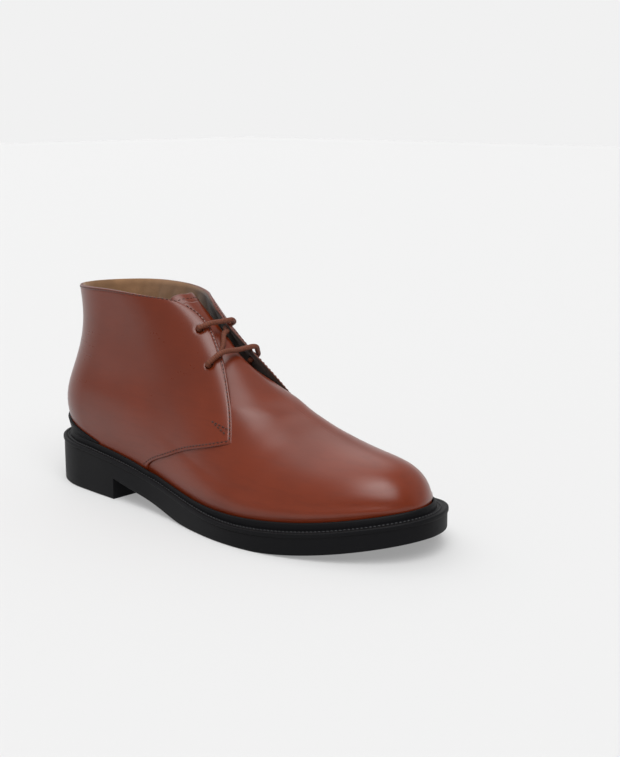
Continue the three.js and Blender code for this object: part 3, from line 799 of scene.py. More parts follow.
def cut_edge(name, colour):
    finish = Finish(name)
    spot = finish.spot()
    fibre = finish.noise(finish.stretched(spot, (300.0, 900.0, 900.0)), 1.0, 3.0)
    shade = finish.blend(tone(colour, 0.75), tone(colour, 1.15), fibre.between(0.35, 0.7))
    normal = finish.bump(fibre, 0.3, 0.15 * MM)
    return finish.finished(Base_Color=shade, Roughness=0.5 + fibre * 0.2, Normal=normal)


def moulded_rubber(name, colour):
    """Matt rubber with a fine mould skin."""
    finish = Finish(name)
    spot = finish.spot()
    skin = finish.noise(spot, 1400.0, 2.0, 0.6)
    cloud = finish.noise(spot, 22.0, 3.0, 0.6)
    dust = cloud.between(0.5, 0.8)
    shade = finish.blend(tone(colour, 0.88), tone(colour, 1.22), dust)
    normal = finish.bump(skin, 0.18, 0.12 * MM)
    return finish.finished(
        Base_Color=shade, Roughness=0.5 + cloud * 0.12 + skin * 0.05, Normal=normal,
        Specular_IOR_Level=0.14,
    )


def waxed_cord(name, colour, diameter):
    """Round braid: two sets of strands that cross, by the marks along and around the cord."""
    finish = Finish(name)
    along_cord = finish.mark("along")
    turn = finish.mark("around")
    pitch = 2 * math.pi / (0.9 * diameter)
    right_hand = (along_cord * pitch + turn * 6.0).sine()
    left_hand = (along_cord * pitch - turn * 6.0).sine()
    braid = right_hand * left_hand
    fluff = finish.noise(finish.spot(), 1500.0, 2.0)
    shade = finish.blend(tone(colour, 0.7), tone(colour, 1.25), braid.between(-0.9, 0.8))
    shade = finish.blend(shade, tone(colour, 0.6), fluff.between(0.55, 0.8) * 0.4)
    normal = finish.bump(braid, 0.4, 0.3 * MM)
    normal = finish.bump(fluff, 0.2, 0.15 * MM, normal)
    return finish.finished(Base_Color=shade, Roughness=0.62 + fluff * 0.16, Normal=normal)


def sewing_thread(name, colour):
    finish = Finish(name)
    strand = finish.noise(finish.spot(), 2600.0, 1.0)
    shade = finish.blend(tone(colour, 0.7), tone(colour, 1.3), strand.between(0.35, 0.7))
    normal = finish.bump(strand, 0.3, 0.1 * MM)
    return finish.finished(Base_Color=shade, Roughness=0.55 + strand * 0.15, Normal=normal)


def studio_floor(name, colour, glow):
    finish = Finish(name)
    cloud = finish.noise(finish.spot(), 0.8, 1.0)
    shade = finish.blend(tone(colour, 0.995), tone(colour, 1.0), cloud)
    return finish.finished(
        Base_Color=shade, Roughness=0.9, Specular_IOR_Level=0.1,
        Emission_Color=(1, 1, 1, 1), Emission_Strength=glow,
    )


class BootLeather(bpy.types.PropertyGroup):
    """Sizes and colours of the upper."""

    vamp_skin: bpy.props.FloatProperty(
        name="Vamp skin", description="Vamp's outside over the last",
        default=-0.4 * MM, unit="LENGTH", precision=5)
    quarter_skin: bpy.props.FloatProperty(
        name="Quarter skin", description="Quarters' outside over the last",
        default=0.8 * MM, unit="LENGTH", precision=5)
    lining_skin: bpy.props.FloatProperty(
        name="Lining skin", description="Lining's face under the last's surface",
        default=-2.2 * MM, unit="LENGTH", precision=5)
    tongue_top: bpy.props.FloatProperty(
        name="Tongue top", description="Height of the tongue over the ground",
        default=132 * MM, unit="LENGTH", precision=5)
    eyelet: bpy.props.FloatProperty(
        name="Eyelet", description="Diameter of the punched lace holes",
        default=4.4 * MM, unit="LENGTH", precision=5)
    stitch_inset: bpy.props.FloatProperty(
        name="Stitch inset", description="Distance of the seams from the leather's edges",
        default=1.8 * MM, unit="LENGTH", precision=5)
    stitch_pitch: bpy.props.FloatProperty(
        name="Stitch pitch", description="Length of one stitch and the gap after it",
        default=2.7 * MM, unit="LENGTH", precision=5)
    leather: bpy.props.FloatVectorProperty(
        name="Leather", description="Dye of the polished calf",
        default=(0.138, 0.019, 0.004), subtype="COLOR", min=0, max=1)
    cut: bpy.props.FloatVectorProperty(
        name="Cut edge", description="Colour of the cut edges",
        default=(0.11, 0.034, 0.02), subtype="COLOR", min=0, max=1)
    lining: bpy.props.FloatVectorProperty(
        name="Lining", description="Colour of the suede lining",
        default=(0.28, 0.152, 0.076), subtype="COLOR", min=0, max=1)
    thread: bpy.props.FloatVectorProperty(
        name="Thread", description="Colour of the sewing thread",
        default=(0.035, 0.012, 0.008), subtype="COLOR", min=0, max=1)


class BootLace(bpy.types.PropertyGroup):
    """Size and colour of the lace."""

    diameter: bpy.props.FloatProperty(
        name="Diameter", description="Thickness of the round lace",
        default=3.2 * MM, unit="LENGTH", precision=5)
    tail: bpy.props.FloatProperty(
        name="Tail", description="Length of the hidden ends behind the eyelets",
        default=9 * MM, unit="LENGTH", precision=5)
    cord: bpy.props.FloatVectorProperty(
        name="Cord", description="Colour of the waxed cord",
        default=(0.125, 0.028, 0.008), subtype="COLOR", min=0, max=1)


class BootSole(bpy.types.PropertyGroup):
    """Sizes and colours of the sole."""

    welt_reach: bpy.props.FloatProperty(
        name="Welt reach", description="Reach of the welt beyond the upper",
        default=8 * MM, unit="LENGTH", precision=5)
    bead: bpy.props.FloatProperty(
        name="Bead", description="Width of the raised bead against the upper",
        default=2.4 * MM, unit="LENGTH", precision=5)
    band: bpy.props.FloatProperty(
        name="Outer band", description="Width of the welt's plain outer band",
        default=2 * MM, unit="LENGTH", precision=5)
    inset: bpy.props.FloatProperty(
        name="Sole inset", description="Step from the welt's rim back to the sole's side",
        default=0.6 * MM, unit="LENGTH", precision=5)
    guard_height: bpy.props.FloatProperty(
        name="Guard height", description="Height of the heel guard at the back",
        default=13 * MM, unit="LENGTH", precision=5)
    guard_reach: bpy.props.FloatProperty(
        name="Guard reach", description="Length of the heel guard along the foot",
        default=55 * MM, unit="LENGTH", precision=5)
    rubber: bpy.props.FloatVectorProperty(
        name="Rubber", description="Colour of the sole",
        default=(0.003, 0.003, 0.004), subtype="COLOR", min=0, max=1)


class BootStudio(bpy.types.PropertyGroup):
    """Floor and light of the studio."""

    floor: bpy.props.FloatVectorProperty(
        name="Floor", description="Colour of the floor",
        default=(0.415, 0.415, 0.415), subtype="COLOR", min=0, max=1)
    sky: bpy.props.FloatProperty(
        name="Sky", description="Strength of the even light all round",
        default=0.46, min=0, max=5)
    backdrop: bpy.props.FloatProperty(
        name="Backdrop", description="Brightness of the white wall behind",
        default=0.88, min=0, max=5)
    front: bpy.props.FloatProperty(
        name="Front lamp", description="Brightness of the soft lamp in front",
        default=4.3, min=0, max=100)
    top: bpy.props.FloatProperty(
        name="Top lamp", description="Brightness of the soft lamp overhead",
        default=2.6, min=0, max=100)
    rear: bpy.props.FloatProperty(
        name="Rear light", description="Brightness of the wide light behind the heel",
        default=1.2, min=0, max=100)
    glow: bpy.props.FloatProperty(
        name="Floor glow", description="Light that comes up through the floor",
        default=0.3, min=0, max=5)


def quarter_side(shares, rises):
    """Side view of one quarter: a grid of x and z, back to facing edge and foot to collar."""
    top = edge_height
    back_top = -28 * MM
    for _ in range(12):
        back_top = float(heel_back_x(top(back_top)))
    turn_x, corner_x = float(station_x(TURN_AT)), float(station_x(CORNER_AT))
    collar_x = np.linspace(back_top, turn_x, 300)
    collar = np.stack([collar_x, top(collar_x)], axis=-1)
    facing_x = np.linspace(corner_x, turn_x, 300)
    facing = np.stack([facing_x, top(facing_x)], axis=-1)
    start_x = float(heel_back_x(feather_z(-HEEL_TO_ORIGIN)))
    foot_x = np.linspace(start_x, corner_x, 600)
    foot_z = np.where(foot_x > 0.06, np.maximum(feather_z(foot_x), foot_height(foot_x)), feather_z(foot_x))
    foot_z[-1] = top(corner_x)
    foot = np.stack([foot_x, foot_z], axis=-1)
    back_z = np.linspace(foot[0, 1], collar[0, 1], 300)
    back = np.stack([heel_back_x(back_z), back_z], axis=-1)
    low, high = resample(foot, shares), resample(collar, shares)
    rear, front = resample(back, rises), resample(facing, rises)
    s, t = shares[None, :, None], rises[:, None, None]
    sides = (1 - t) * low[None] + t * high[None] + (1 - s) * rear[:, None] + s * front[:, None]
    corners = (1 - s) * (1 - t) * low[0] + s * (1 - t) * low[-1] + (1 - s) * t * high[0] + s * t * high[-1]
    return sides - corners


def eyelet_seats():
    """Where the lace goes through, and the way out of the leather there: top pair, then low pair."""
    seats = []
    for at, height in EYELETS:
        x, z = float(station_x(at)), height * COLLAR_HEIGHT
        for side in SIDES:
            seats.append((place(x, z, side), way_out(x, z, side), x, z, side))
    return seats


SOFT_FOLDS = (
    # side, station, height of collar, lean in degrees, length, width, depth in millimetres
    (LATERAL, 0.70, 0.30, 62, 30, 9, 0.55),
    (LATERAL, 0.655, 0.34, 58, 34, 8, -0.35),
    (LATERAL, 0.60, 0.42, 66, 20, 7, 0.3),
    (MEDIAL, 0.70, 0.31, 60, 30, 9, 0.5),
    (MEDIAL, 0.65, 0.36, 58, 30, 8, -0.3),
    (LATERAL, 0.20, 0.56, 8, 34, 10, 0.35),
    (LATERAL, 0.22, 0.70, -6, 30, 11, -0.3),
    (MEDIAL, 0.20, 0.57, 8, 32, 10, 0.35),
    (MEDIAL, 0.22, 0.72, -5, 30, 11, -0.3),
    (LATERAL, 0.40, 0.62, 30, 26, 12, 0.3),
    (MEDIAL, 0.40, 0.60, 30, 26, 12, 0.3),
)


def folds(grid):
    """Soft troughs and ridges of the leather, as a change of growth."""
    total = np.zeros(grid.shape[:-1])
    sides = np.sign(grid[..., 1] - centre_y(grid[..., 0]))
    for side, at, height, lean, length, width, depth in SOFT_FOLDS:
        dx = grid[..., 0] - station_x(at)
        dz = grid[..., 2] - height * COLLAR_HEIGHT
        turn = math.radians(lean)
        long_way = dx * math.cos(turn) + dz * math.sin(turn)
        across = -dx * math.sin(turn) + dz * math.cos(turn)
        shape = np.exp(-((long_way / (length * MM)) ** 2) - (across / (width * MM)) ** 2)
        total -= depth * MM * shape * (sides == side)
    return total


def quarters_grid():
    """Places of the quarters on the last, from the outer facing edge round the heel to the inner one."""
    count = 120
    turn = np.linspace(0, 1, count + 1)
    shares = (1 - np.cos(math.pi * turn)) / 2
    fine = np.array([0, 0.0012, 0.003, 0.006, 0.011])
    rises = np.concatenate([fine, np.linspace(0.02, 0.98, 84), 1 - fine[::-1]])
    halves = []
    view = quarter_side(shares, rises)
    for side in SIDES:
        halves.append(place(view[..., 0], view[..., 1], side))
    return np.concatenate([halves[0][:, ::-1], halves[1][:, 1:]], axis=1)


def quarters_skin(settings):
    """Outer and lining faces of the quarters, and the distance to their free edges."""
    base = quarters_grid()
    middle = base.shape[1] // 2
    normals = grid_normals(base)
    facing = np.minimum(length_from(base, 1), length_from(base, 1, True))
    collar = length_from(base, 0, True)
    foot = length_from(base, 0)
    # Free lower edge in front of the place where it meets the welt
    free = ease((base[0, :, 0] - 74 * MM) / (5 * MM))[None, :]
    foot = foot + (1 - free) * 20 * MM
    edge = np.minimum(np.minimum(facing, collar), foot)
    growth = settings.quarter_skin - rounded(edge, 0.7 * MM) * 0.75 + folds(base)
    # The facings roll in toward the throat
    growth = growth - 1.2 * MM * np.clip(1 - facing / (12 * MM), 0, 1) ** 2
    seats = eyelet_seats()
    for centre, axis, *_ in seats:
        away = base - centre
        flat = np.linalg.norm(away - (away @ axis)[..., None] * axis, axis=-1)
        near = (np.abs(away @ axis) < 6 * MM) * np.exp(-((flat - settings.eyelet / 2) / (1.1 * MM)) ** 2)
        growth = growth - 0.45 * MM * near
    outer = base + normals * growth[..., None]
    wrinkle = 0.5 * MM * np.sin(base[..., 0] / (4.3 * MM) + 3 * np.sin(base[..., 2] / (15 * MM)))
    wrinkle = wrinkle * ease((base[..., 2] - 85 * MM) / (20 * MM)) * ease((collar - 3 * MM) / (8 * MM))
    thin = np.clip(1 - np.minimum(collar, facing) / (4 * MM), 0, 1) ** 2
    lining = settings.lining_skin + 1.2 * MM * thin - np.abs(wrinkle)
    inner = base + normals * lining[..., None]
    # Lasting edge below the welt's bead, and the cut of the free lower edge
    skirts = []
    for step in (3, 2, 1):
        drop = step * (2 * MM * (1 - free[0]) + 0.04 * MM * free[0])
        level = base[0].copy()
        level[:, 2] -= drop
        level_normals = normals[0] * np.array([1, 1, 0])
        level_normals = unit(level_normals * (1 - free[0])[:, None] + normals[0] * free[0][:, None])
        outside = (1 - free[0]) * settings.quarter_skin + free[0] * (growth[0] - 0.7 * MM * step)
        inside = np.full(len(level), settings.lining_skin)
        skirts.append((level + level_normals * outside[:, None], level + level_normals * inside[:, None]))
    outer = np.concatenate([np.stack([pair[0] for pair in skirts]), outer])
    inner = np.concatenate([np.stack([pair[1] for pair in skirts]), inner])
    edge = np.concatenate([np.zeros((3, edge.shape[1])) + 20 * MM * (1 - free), edge])
    return outer, inner, edge, normals, base, middle


def vamp_grid(settings):
    """Places of vamp and tongue on the last: rows from the lower edge up to the tongue's top."""
    rows, count = 132, 84
    top_share = 0.919
    close = top_share - np.array([0.004, 0.0015, 0])
    shares = np.concatenate([np.linspace(0, top_share - 0.008, rows), close])
    across_top = np.linspace(0, 1, 800)
    rear_foot = float(feather_z(-HEEL_TO_ORIGIN))
    turn = np.sin(0.5 * math.pi * np.linspace(0, 1, count + 1))
    # The tongue's corners fall away from its top
    corner = 0.1 * (1 - turn) ** 1.5

    def ring(share, across):
        rear_z = rear_foot + (1.13 * COLLAR_HEIGHT - rear_foot) * share
        rear_x = heel_back_x(rear_z)
        front_x = np.interp(share * walk_length[-1], walk_length, walk_x)
        x = rear_x + (front_x - rear_x) * across
        chord = feather_z(rear_x) + (feather_z(front_x) - feather_z(rear_x)) * across
        straight = rear_z + (ridge_z(front_x) - rear_z) * across
        return x, straight + (feather_z(x) - chord) * (1 - share) ** 2

    halves = {}
    for side in SIDES:
        places = []
        for share in shares:
            x, z = ring(share, across_top)
            behind = x < station_x(hidden_at(z))
            first = across_top[np.nonzero(behind)[0][-1]] if behind.any() else 0.0
            fall = corner * ease((share - 0.6) / (top_share - 0.6))
            x, z = ring(share - fall, first + (1 - first) * turn)
            places.append(place(x, z, side))
        halves[side] = np.array(places)
    return np.concatenate([halves[MEDIAL], halves[LATERAL][:, -2::-1]], axis=1)


def vamp_skin(settings):
    """Outer and lining faces of the vamp with its tongue, and the distance to the tongue's top."""
    base = vamp_grid(settings)
    middle = base.shape[1] // 2
    normals = grid_normals(base)
    normals[0, :, 2] = 0
    normals = unit(normals)
    ridge_x = base[:, middle, 0]
    sink = tongue_depth(ridge_x)
    sink = np.where(ridge_x > station_x(TONGUE_DEPTH[-1][0]), -settings.vamp_skin, sink)
    inward = ease((base[..., 1] - centre_y(base[..., 0]) + 4 * MM) / (16 * MM))
    inward = inward * ease((ridge_x[:, None] - station_x(0.49)) / (16 * MM))
    top = length_from(base, 0, True)
    growth = -sink[:, None] * (1 + INNER_SINK * inward) + folds(base) - rounded(top, 0.7 * MM) * 0.7
    thick = 2 * MM
    outer = base + normals * growth[..., None]
    inner = base + normals * (growth - thick)[..., None]
    skirts = []
    for step in (3, 2, 1):
        drop = np.array([0, 0, 2 * MM * step])
        skirts.append((outer[0] - drop, inner[0] - drop))
    outer = np.concatenate([np.stack([pair[0] for pair in skirts]), outer])
    inner = np.concatenate([np.stack([pair[1] for pair in skirts]), inner])
    edge = np.concatenate([np.full((3, top.shape[1]), 30 * MM), np.minimum(top, 30 * MM)])
    return outer, inner, edge, normals, base, middle


def level_at(line, distances, wanted):
    """Place on each line of a grid at a distance from its edge."""
    result = np.empty((line.shape[0], 3))
    for i in range(line.shape[0]):
        result[i] = [np.interp(wanted, distances[i], line[i, :, k]) for k in range(3)]
    return result


def add_stitches(form, line, normals, pitch, radius):
    """Sews a row of short stitches along a line that lies on the leather."""
    step = np.linalg.norm(np.diff(line, axis=0), axis=1)
    length = np.concatenate([[0], np.cumsum(step)])
    count = max(1, int(length[-1] / pitch))
    gap = length[-1] / count
    rounds, rings = 6, 7
    angle = np.linspace(0, 2 * math.pi, rounds, endpoint=False)
    along_share = np.linspace(0, 1, rings)
    for k in range(count):
        at = (k + 0.14 + 0.72 * along_share) * gap
        spine = np.stack([np.interp(at, length, line[:, m]) for m in range(3)], axis=-1)
        out = unit(np.stack([np.interp(at, length, normals[:, m]) for m in range(3)], axis=-1))
        dip = np.sin(math.pi * along_share)
        spine = spine + out * (radius * (1.1 * dip - 0.75))[:, None]
        forward = unit(np.gradient(spine, axis=0))
        across = unit(np.cross(forward, out))
        over = np.cross(across, forward)
        width = radius * np.sqrt(np.clip(1 - (2 * along_share - 1) ** 4, 0.08, 1))
        loops = (
            spine[:, None]
            + across[:, None] * (np.cos(angle)[None, :, None] * width[:, None, None])
            + over[:, None] * (np.sin(angle)[None, :, None] * width[:, None, None])
        )
        numbers = form.add_points(loops)
        form.add_grid(numbers, close=True, flip=True)
        form.add_faces([numbers[0]])
        form.add_faces([numbers[-1][::-1]])


def near_place(grid, normals, x, z, side):
    """Place and direction on a grid of leather, nearest to a spot in the side view."""
    sides = np.sign(grid[..., 1] - centre_y(grid[..., 0]))
    away = (grid[..., 0] - x) ** 2 + (grid[..., 2] - z) ** 2 + (sides != side)
    i, j = np.unravel_index(np.argmin(away), away.shape)
    return grid[i, j], normals[i, j]


def foot_ring(count=150):
    """Lower edge of the upper in plan, closed, and the level way out of it."""
    start = float(heel_back_x(feather_z(-HEEL_TO_ORIGIN)))
    across = (1 - np.cos(np.linspace(0, math.pi, count + 1))) / 2
    x = start + (TOE_X - start) * across
    z = feather_z(x)
    outer, inner = place(x, z, LATERAL), place(x, z, MEDIAL)
    ring = np.concatenate([outer[::-1], inner[1:-1]])
    forward = np.roll(ring, -1, axis=0) - np.roll(ring, 1, axis=0)
    out = np.stack([-forward[:, 1], forward[:, 0], np.zeros(len(ring))], axis=-1)
    out = unit(out)
    if out[count, 0] > 0:
        out = -out
    return ring, out


def ring_outline(growth, count=400):
    """Both sides of the lower edge, moved out by an amount, as curves of y over x."""
    ring, out = foot_ring(count)
    moved = ring + out * growth(ring[:, 0])[:, None]
    outer = moved[:count + 1][::-1]
    inner = np.concatenate([moved[count:], moved[:1]])
    return outer, inner


def add_sections(form, x_places, outer, inner, section):
    """Lofts cross-sections along the foot; section gives heights and shares across for a place."""
    loops = []
    for x in x_places:
        left = float(np.interp(x, outer[:, 0], outer[:, 1]))
        right = float(np.interp(x, inner[:, 0], inner[:, 1]))
        loops.append(section(x, left, right))
    numbers = form.add_points(np.array(loops))
    form.add_grid(numbers, close=True)
    form.add_faces([numbers[0][::-1], numbers[-1]])


def settings_of(context):
    scene = context.scene
    return scene.boot_leather, scene.boot_lace, scene.boot_sole, scene.boot_studio


class BOOT_OT_quarters(bpy.types.Operator):
    """Quarters: the rear of the upper, laid over the vamp, with its lining and eyelets"""

    bl_idname = "boot.quarters"
    bl_label = "Quarters"

    def execute(self, context):
        settings = context.scene.boot_leather
        outer, inner, edge, *_ = quarters_skin(settings)
        seats = [(centre, axis) for centre, axis, *_ in eyelet_seats()]
        keep = cut_holes(outer, inner, seats, settings.eyelet / 2)
        form = Form()
        add_shell(form, outer, inner, edge, keep)
        leather = polished_leather("quarter_leather", settings.leather, settings.stitch_inset)
        lining = suede_lining("collar_lining", settings.lining)
        cut = cut_edge("quarter_cut_edge", settings.cut)
        piece = form.make("quarters", [leather, lining, cut])
        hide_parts("upper")
        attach(piece, "root")
        return {"FINISHED"}


class BOOT_OT_vamp(bpy.types.Operator):
    """Vamp and tongue: one leather from the toe to the top of the throat"""

    bl_idname = "boot.vamp"
    bl_label = "Vamp and tongue"

    def execute(self, context):
        settings = context.scene.boot_leather
        outer, inner, edge, *_ = vamp_skin(settings)
        keep = np.ones((outer.shape[0] - 1, outer.shape[1] - 1), bool)
        form = Form()
        add_shell(form, outer, inner, edge, keep)
        leather = polished_leather("vamp_leather", settings.leather, 8 * MM)
        lining = suede_lining("vamp_lining", settings.lining)
        cut = cut_edge("tongue_cut_edge", settings.cut)
        piece = form.make("vamp_and_tongue", [leather, lining, cut])
        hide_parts("upper", "tongue")
        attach(piece, "root")
        return {"FINISHED"}


class BOOT_OT_stitching(bpy.types.Operator):
    """Stitching: rows along the quarters' edges, across the tongue, and the bar at each corner"""

    bl_idname = "boot.stitching"
    bl_label = "Stitching"

    def execute(self, context):
        settings = context.scene.boot_leather
        radius = 0.28 * MM
        pitch = settings.stitch_pitch
        thread = sewing_thread("seam_thread", settings.thread)
        outer, _, _, normals, base, middle = quarters_skin(settings)
        skin = outer[3:]
        form = Form()
        inset = settings.stitch_inset
        for side in SIDES:
            columns = slice(0, middle + 1) if side == LATERAL else slice(skin.shape[1] - 1, middle - 1, -1)
            sheet, ways = skin[:, columns], normals[:, columns]
            reach = length_from(sheet, 1)
            line = level_at(sheet, reach, inset)
            way = level_at(ways, reach, inset)
            rise = line[:, 2]
            inside = (rise > line[0, 2] + inset) & (rise < line[-1, 2] - inset)
            add_stitches(form, line[inside], unit(way[inside]), pitch, radius)
            upright = sheet[::-1].transpose(1, 0, 2)
            drop = length_from(upright, 1)
            line = level_at(upright, drop, inset * 0.8)
            way = level_at(ways[::-1].transpose(1, 0, 2), drop, inset * 0.8)
            inside = reach[-1] > inset * 1.2
            add_stitches(form, line[inside], unit(way[inside]), pitch, radius * 0.9)
            upright = sheet.transpose(1, 0, 2)
            rise = length_from(upright, 1)
            line = level_at(upright, rise, inset * 1.15)
            way = level_at(ways.transpose(1, 0, 2), rise, inset * 1.15)
            inside = (reach[0] > inset) & (sheet[0, :, 0] > 72 * MM)
            add_stitches(form, line[inside], unit(way[inside]), pitch, radius)
            corner_x, corner_z = 129.9 * MM, 63.4 * MM
            for end_x, end_z in ((143 * MM, 60.2 * MM), (142.5 * MM, 57.6 * MM)):
                shares = np.linspace(0, 1, 12)
                xs = corner_x + (end_x - corner_x) * shares
                zs = corner_z + (end_z - corner_z) * shares
                found = [near_place(skin, normals, a, b, side)[1] for a, b in zip(xs, zs)]
                row = place(xs, zs, side) + np.array(found) * settings.quarter_skin
                add_stitches(form, row, np.array(found), pitch * 0.9, radius)
        piece = form.make("quarter_stitching", [thread])
        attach(piece, "root")
        outer, _, _, normals, _, middle = vamp_skin(settings)
        skin = outer[3:]
        drop = length_from(skin[::-1], 0)
        upright = skin[::-1].transpose(1, 0, 2)
        line = level_at(upright, drop.T, 5 * MM)
        way = level_at(normals[::-1].transpose(1, 0, 2), drop.T, 5 * MM)
        side_reach = np.abs(line[:, 1] - centre_y(line[:, 0]))
        inside = side_reach < 20 * MM
        form = Form()
        add_stitches(form, line[inside], unit(way[inside]), pitch, radius * 0.9)
        piece = form.make("tongue_stitching", [thread])
        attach(piece, "root")
        return {"FINISHED"}


class BOOT_OT_welt(bpy.types.Operator):
    """Welt: a rubber ring with a bead against the upper, a sewn groove and a proud outer band"""

    bl_idname = "boot.welt"
    bl_label = "Welt"

    def execute(self, context):
        leather = context.scene.boot_leather
        sole = context.scene.boot_sole
        ring, out = foot_ring(170)
        x = ring[:, 0]
        quarter_end = station_x(0.372)
        over = ease((quarter_end + 12 * MM - x) / (10 * MM))
        skin = leather.vamp_skin + (leather.quarter_skin - leather.vamp_skin) * over
        inner = skin + FIT
        reach = sole.welt_reach * welt_share(x)
        bead = inner + sole.bead
        band = np.maximum(reach - sole.band, bead + 0.7 * MM)
        top, seat, feather = welt_z(x), seat_z(x) + FIT, feather_z(x)
        profile = [
            (inner, seat), (inner, feather - 0.9 * MM), (inner + 0.1 * sole.bead, feather - 0.35 * MM),
            (inner + 0.28 * sole.bead, feather - 0.08 * MM), (inner + 0.48 * sole.bead, feather - 0.02 * MM),
            (inner + 0.68 * sole.bead, feather - 0.25 * MM), (inner + 0.86 * sole.bead, feather - 0.8 * MM),
            (bead - 0.1 * MM, top), (bead, top - 0.5 * MM), (bead + 0.25 * MM, top - 0.62 * MM),
            (np.maximum(band - 0.5 * MM, bead + 0.35 * MM), top - 0.6 * MM),
            (band - 0.1 * MM, top - 0.25 * MM), (band + 0.05 * MM, top - 0.06 * MM), (band + 0.3 * MM, top),
            (reach - 0.8 * MM, top), (reach - 0.38 * MM, top - 0.1 * MM), (reach - 0.1 * MM, top - 0.38 * MM),
            (reach, top - 0.8 * MM), (reach, seat + 0.5 * MM), (reach - 0.12 * MM, seat + 0.14 * MM),
            (reach - 0.4 * MM, seat),
        ]
        loops = []
        for amount, height in profile:
            loop = ring + out * amount[:, None]
            loop[:, 2] = height
            loops.append(loop)
        form = Form()
        numbers = form.add_points(np.array(loops).transpose(1, 0, 2))
        closed = np.concatenate([numbers, numbers[:1]])
        form.add_grid(closed, close=True, flip=True)
        rubber = moulded_rubber("welt_rubber", sole.rubber)
        piece = form.make("welt_ring", [rubber], sharp=math.radians(50))
        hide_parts("welt")
        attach(piece, "root")
        form = Form()
        groove = (bead + np.maximum(band - 0.5 * MM, bead + 0.35 * MM)) / 2 + 0.1 * MM
        line = ring + out * groove[:, None]
        line[:, 2] = top - 0.5 * MM
        line = np.concatenate([line, line[:1]])
        way = np.zeros_like(line)
        way[:, 2] = 1
        add_stitches(form, line, way, 2.4 * MM, 0.42 * MM)
        thread = sewing_thread("welt_thread", (0.02, 0.02, 0.022))
        piece = form.make("welt_stitching", [thread])
        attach(piece, "root")
        return {"FINISHED"}


class BOOT_OT_outsole(bpy.types.Operator):
    """Outsole: heel, arched waist and forefoot in one piece of rubber"""

    bl_idname = "boot.outsole"
    bl_label = "Outsole"

    def execute(self, context):
        sole = context.scene.boot_sole
        outer, inner = ring_outline(lambda x: sole.welt_reach * welt_share(x) - sole.inset)
        breast = HEEL_LENGTH - HEEL_TO_ORIGIN - sole.welt_reach
        flat_from = FLAT_FROM - HEEL_TO_ORIGIN - sole.welt_reach
        flat_to = FLAT_TO - HEEL_TO_ORIGIN - sole.welt_reach
        start, end = outer[0, 0], outer[-1, 0]
        x_places = start + (end - start) * (1 - np.cos(np.linspace(0, math.pi, 150))) / 2
        x_places[0] += 0.002 * MM
        x_places[-1] -= 0.002 * MM
        x_places = np.sort(np.concatenate([x_places, breast + np.array([-0.5, -0.15, 0, 0.12, 0.5]) * MM]))

        def bottom(x):
            if x < breast:
                return 0.35 * MM * float(ease((x - breast + 0.5 * MM) / (0.5 * MM)))
            if x < flat_from:
                return max(0.0, float(arch_lift(x)))
            if x < flat_to:
                return 0.0
            share = (x - flat_to) / (TOE_X + sole.welt_reach - flat_to)
            return SOLE_TOE_LIFT * max(0.0, share) ** 1.6

        def section(x, left, right):
            low, high = bottom(x), float(seat_z(x))
            width = right - left
            bevel = min(0.9 * MM, 0.3 * width)
            points = []
            for share in (1, 0.75, 0.5, 0.25):
                points.append((x, left, low + bevel + (high - low - bevel) * share))
            for step in (0, 30, 60, 90):
                turn = math.radians(step)
                points.append((x, left + bevel * (1 - math.cos(turn)), low + bevel * (1 - math.sin(turn))))
            for share in (0.12, 0.3, 0.5, 0.7, 0.88):
                points.append((x, left + width * share, low))
            for step in (90, 60, 30, 0):
                turn = math.radians(step)
                points.append((x, right - bevel * (1 - math.cos(turn)), low + bevel * (1 - math.sin(turn))))
            for share in (0.25, 0.5, 0.75, 1):
                points.append((x, right, low + bevel + (high - low - bevel) * share))
            for share in (0.8, 0.5, 0.2):
                points.append((x, left + width * share, high))
            return points

        form = Form()
        add_sections(form, x_places, outer, inner, section)
        rubber = moulded_rubber("outsole_rubber", sole.rubber)
        piece = form.make("rubber_outsole", [rubber], sharp=math.radians(40))
        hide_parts("outsole")
        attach(piece, "root")
        return {"FINISHED"}


class BOOT_OT_guard(bpy.types.Operator):
    """Heel guard: a rubber crescent round the back, tapering to the welt"""

    bl_idname = "boot.heel_guard"
    bl_label = "Heel guard"

    def execute(self, context):
        leather = context.scene.boot_leather
        sole = context.scene.boot_sole
        front = sole.guard_reach - HEEL_TO_ORIGIN
        start = float(heel_back_x(feather_z(-HEEL_TO_ORIGIN)))
        turn = 1 - np.cos(0.5 * math.pi * np.linspace(0, 1, 61))
        x = start + (front - start) * turn
        share = np.clip((x + HEEL_TO_ORIGIN) / (front + HEEL_TO_ORIGIN), 0, 1)
        foot = feather_z(x) + FIT
        height = 0.4 * MM + sole.guard_height * (1 - share) ** 1.25
        rises = np.linspace(0, 1, 15)
        halves = []
        for side in SIDES:
            rows = []
            for rise in rises:
                z = foot + height * rise
                shifted = heel_back_x(z) + (front - heel_back_x(z)) * turn
                rows.append(place(shifted, z, side))
            halves.append(np.array(rows))
        base = np.concatenate([halves[0][:, ::-1], halves[1][:, 1:]], axis=1)
        normals = grid_normals(base)
        thickness = 1.3 * MM
        top = length_from(base, 0, True)
        ends = np.minimum(length_from(base, 1), length_from(base, 1, True))
        fall = rounded(np.minimum(top, ends), 0.8 * MM)
        inside = leather.quarter_skin + FIT
        outer = base + normals * (inside + thickness - fall * 0.8)[..., None]
        inner = base + normals * inside
        form = Form()
        keep = np.ones((base.shape[0] - 1, base.shape[1] - 1), bool)
        add_shell(form, outer, inner, top, keep, kinds=(0, 0, 0))
        rubber = moulded_rubber("guard_rubber", sole.rubber)
        piece = form.make("rubber_heel_guard", [rubber], sharp=math.radians(60))
        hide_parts("heel_guard")
        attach(piece, "root")
        return {"FINISHED"}


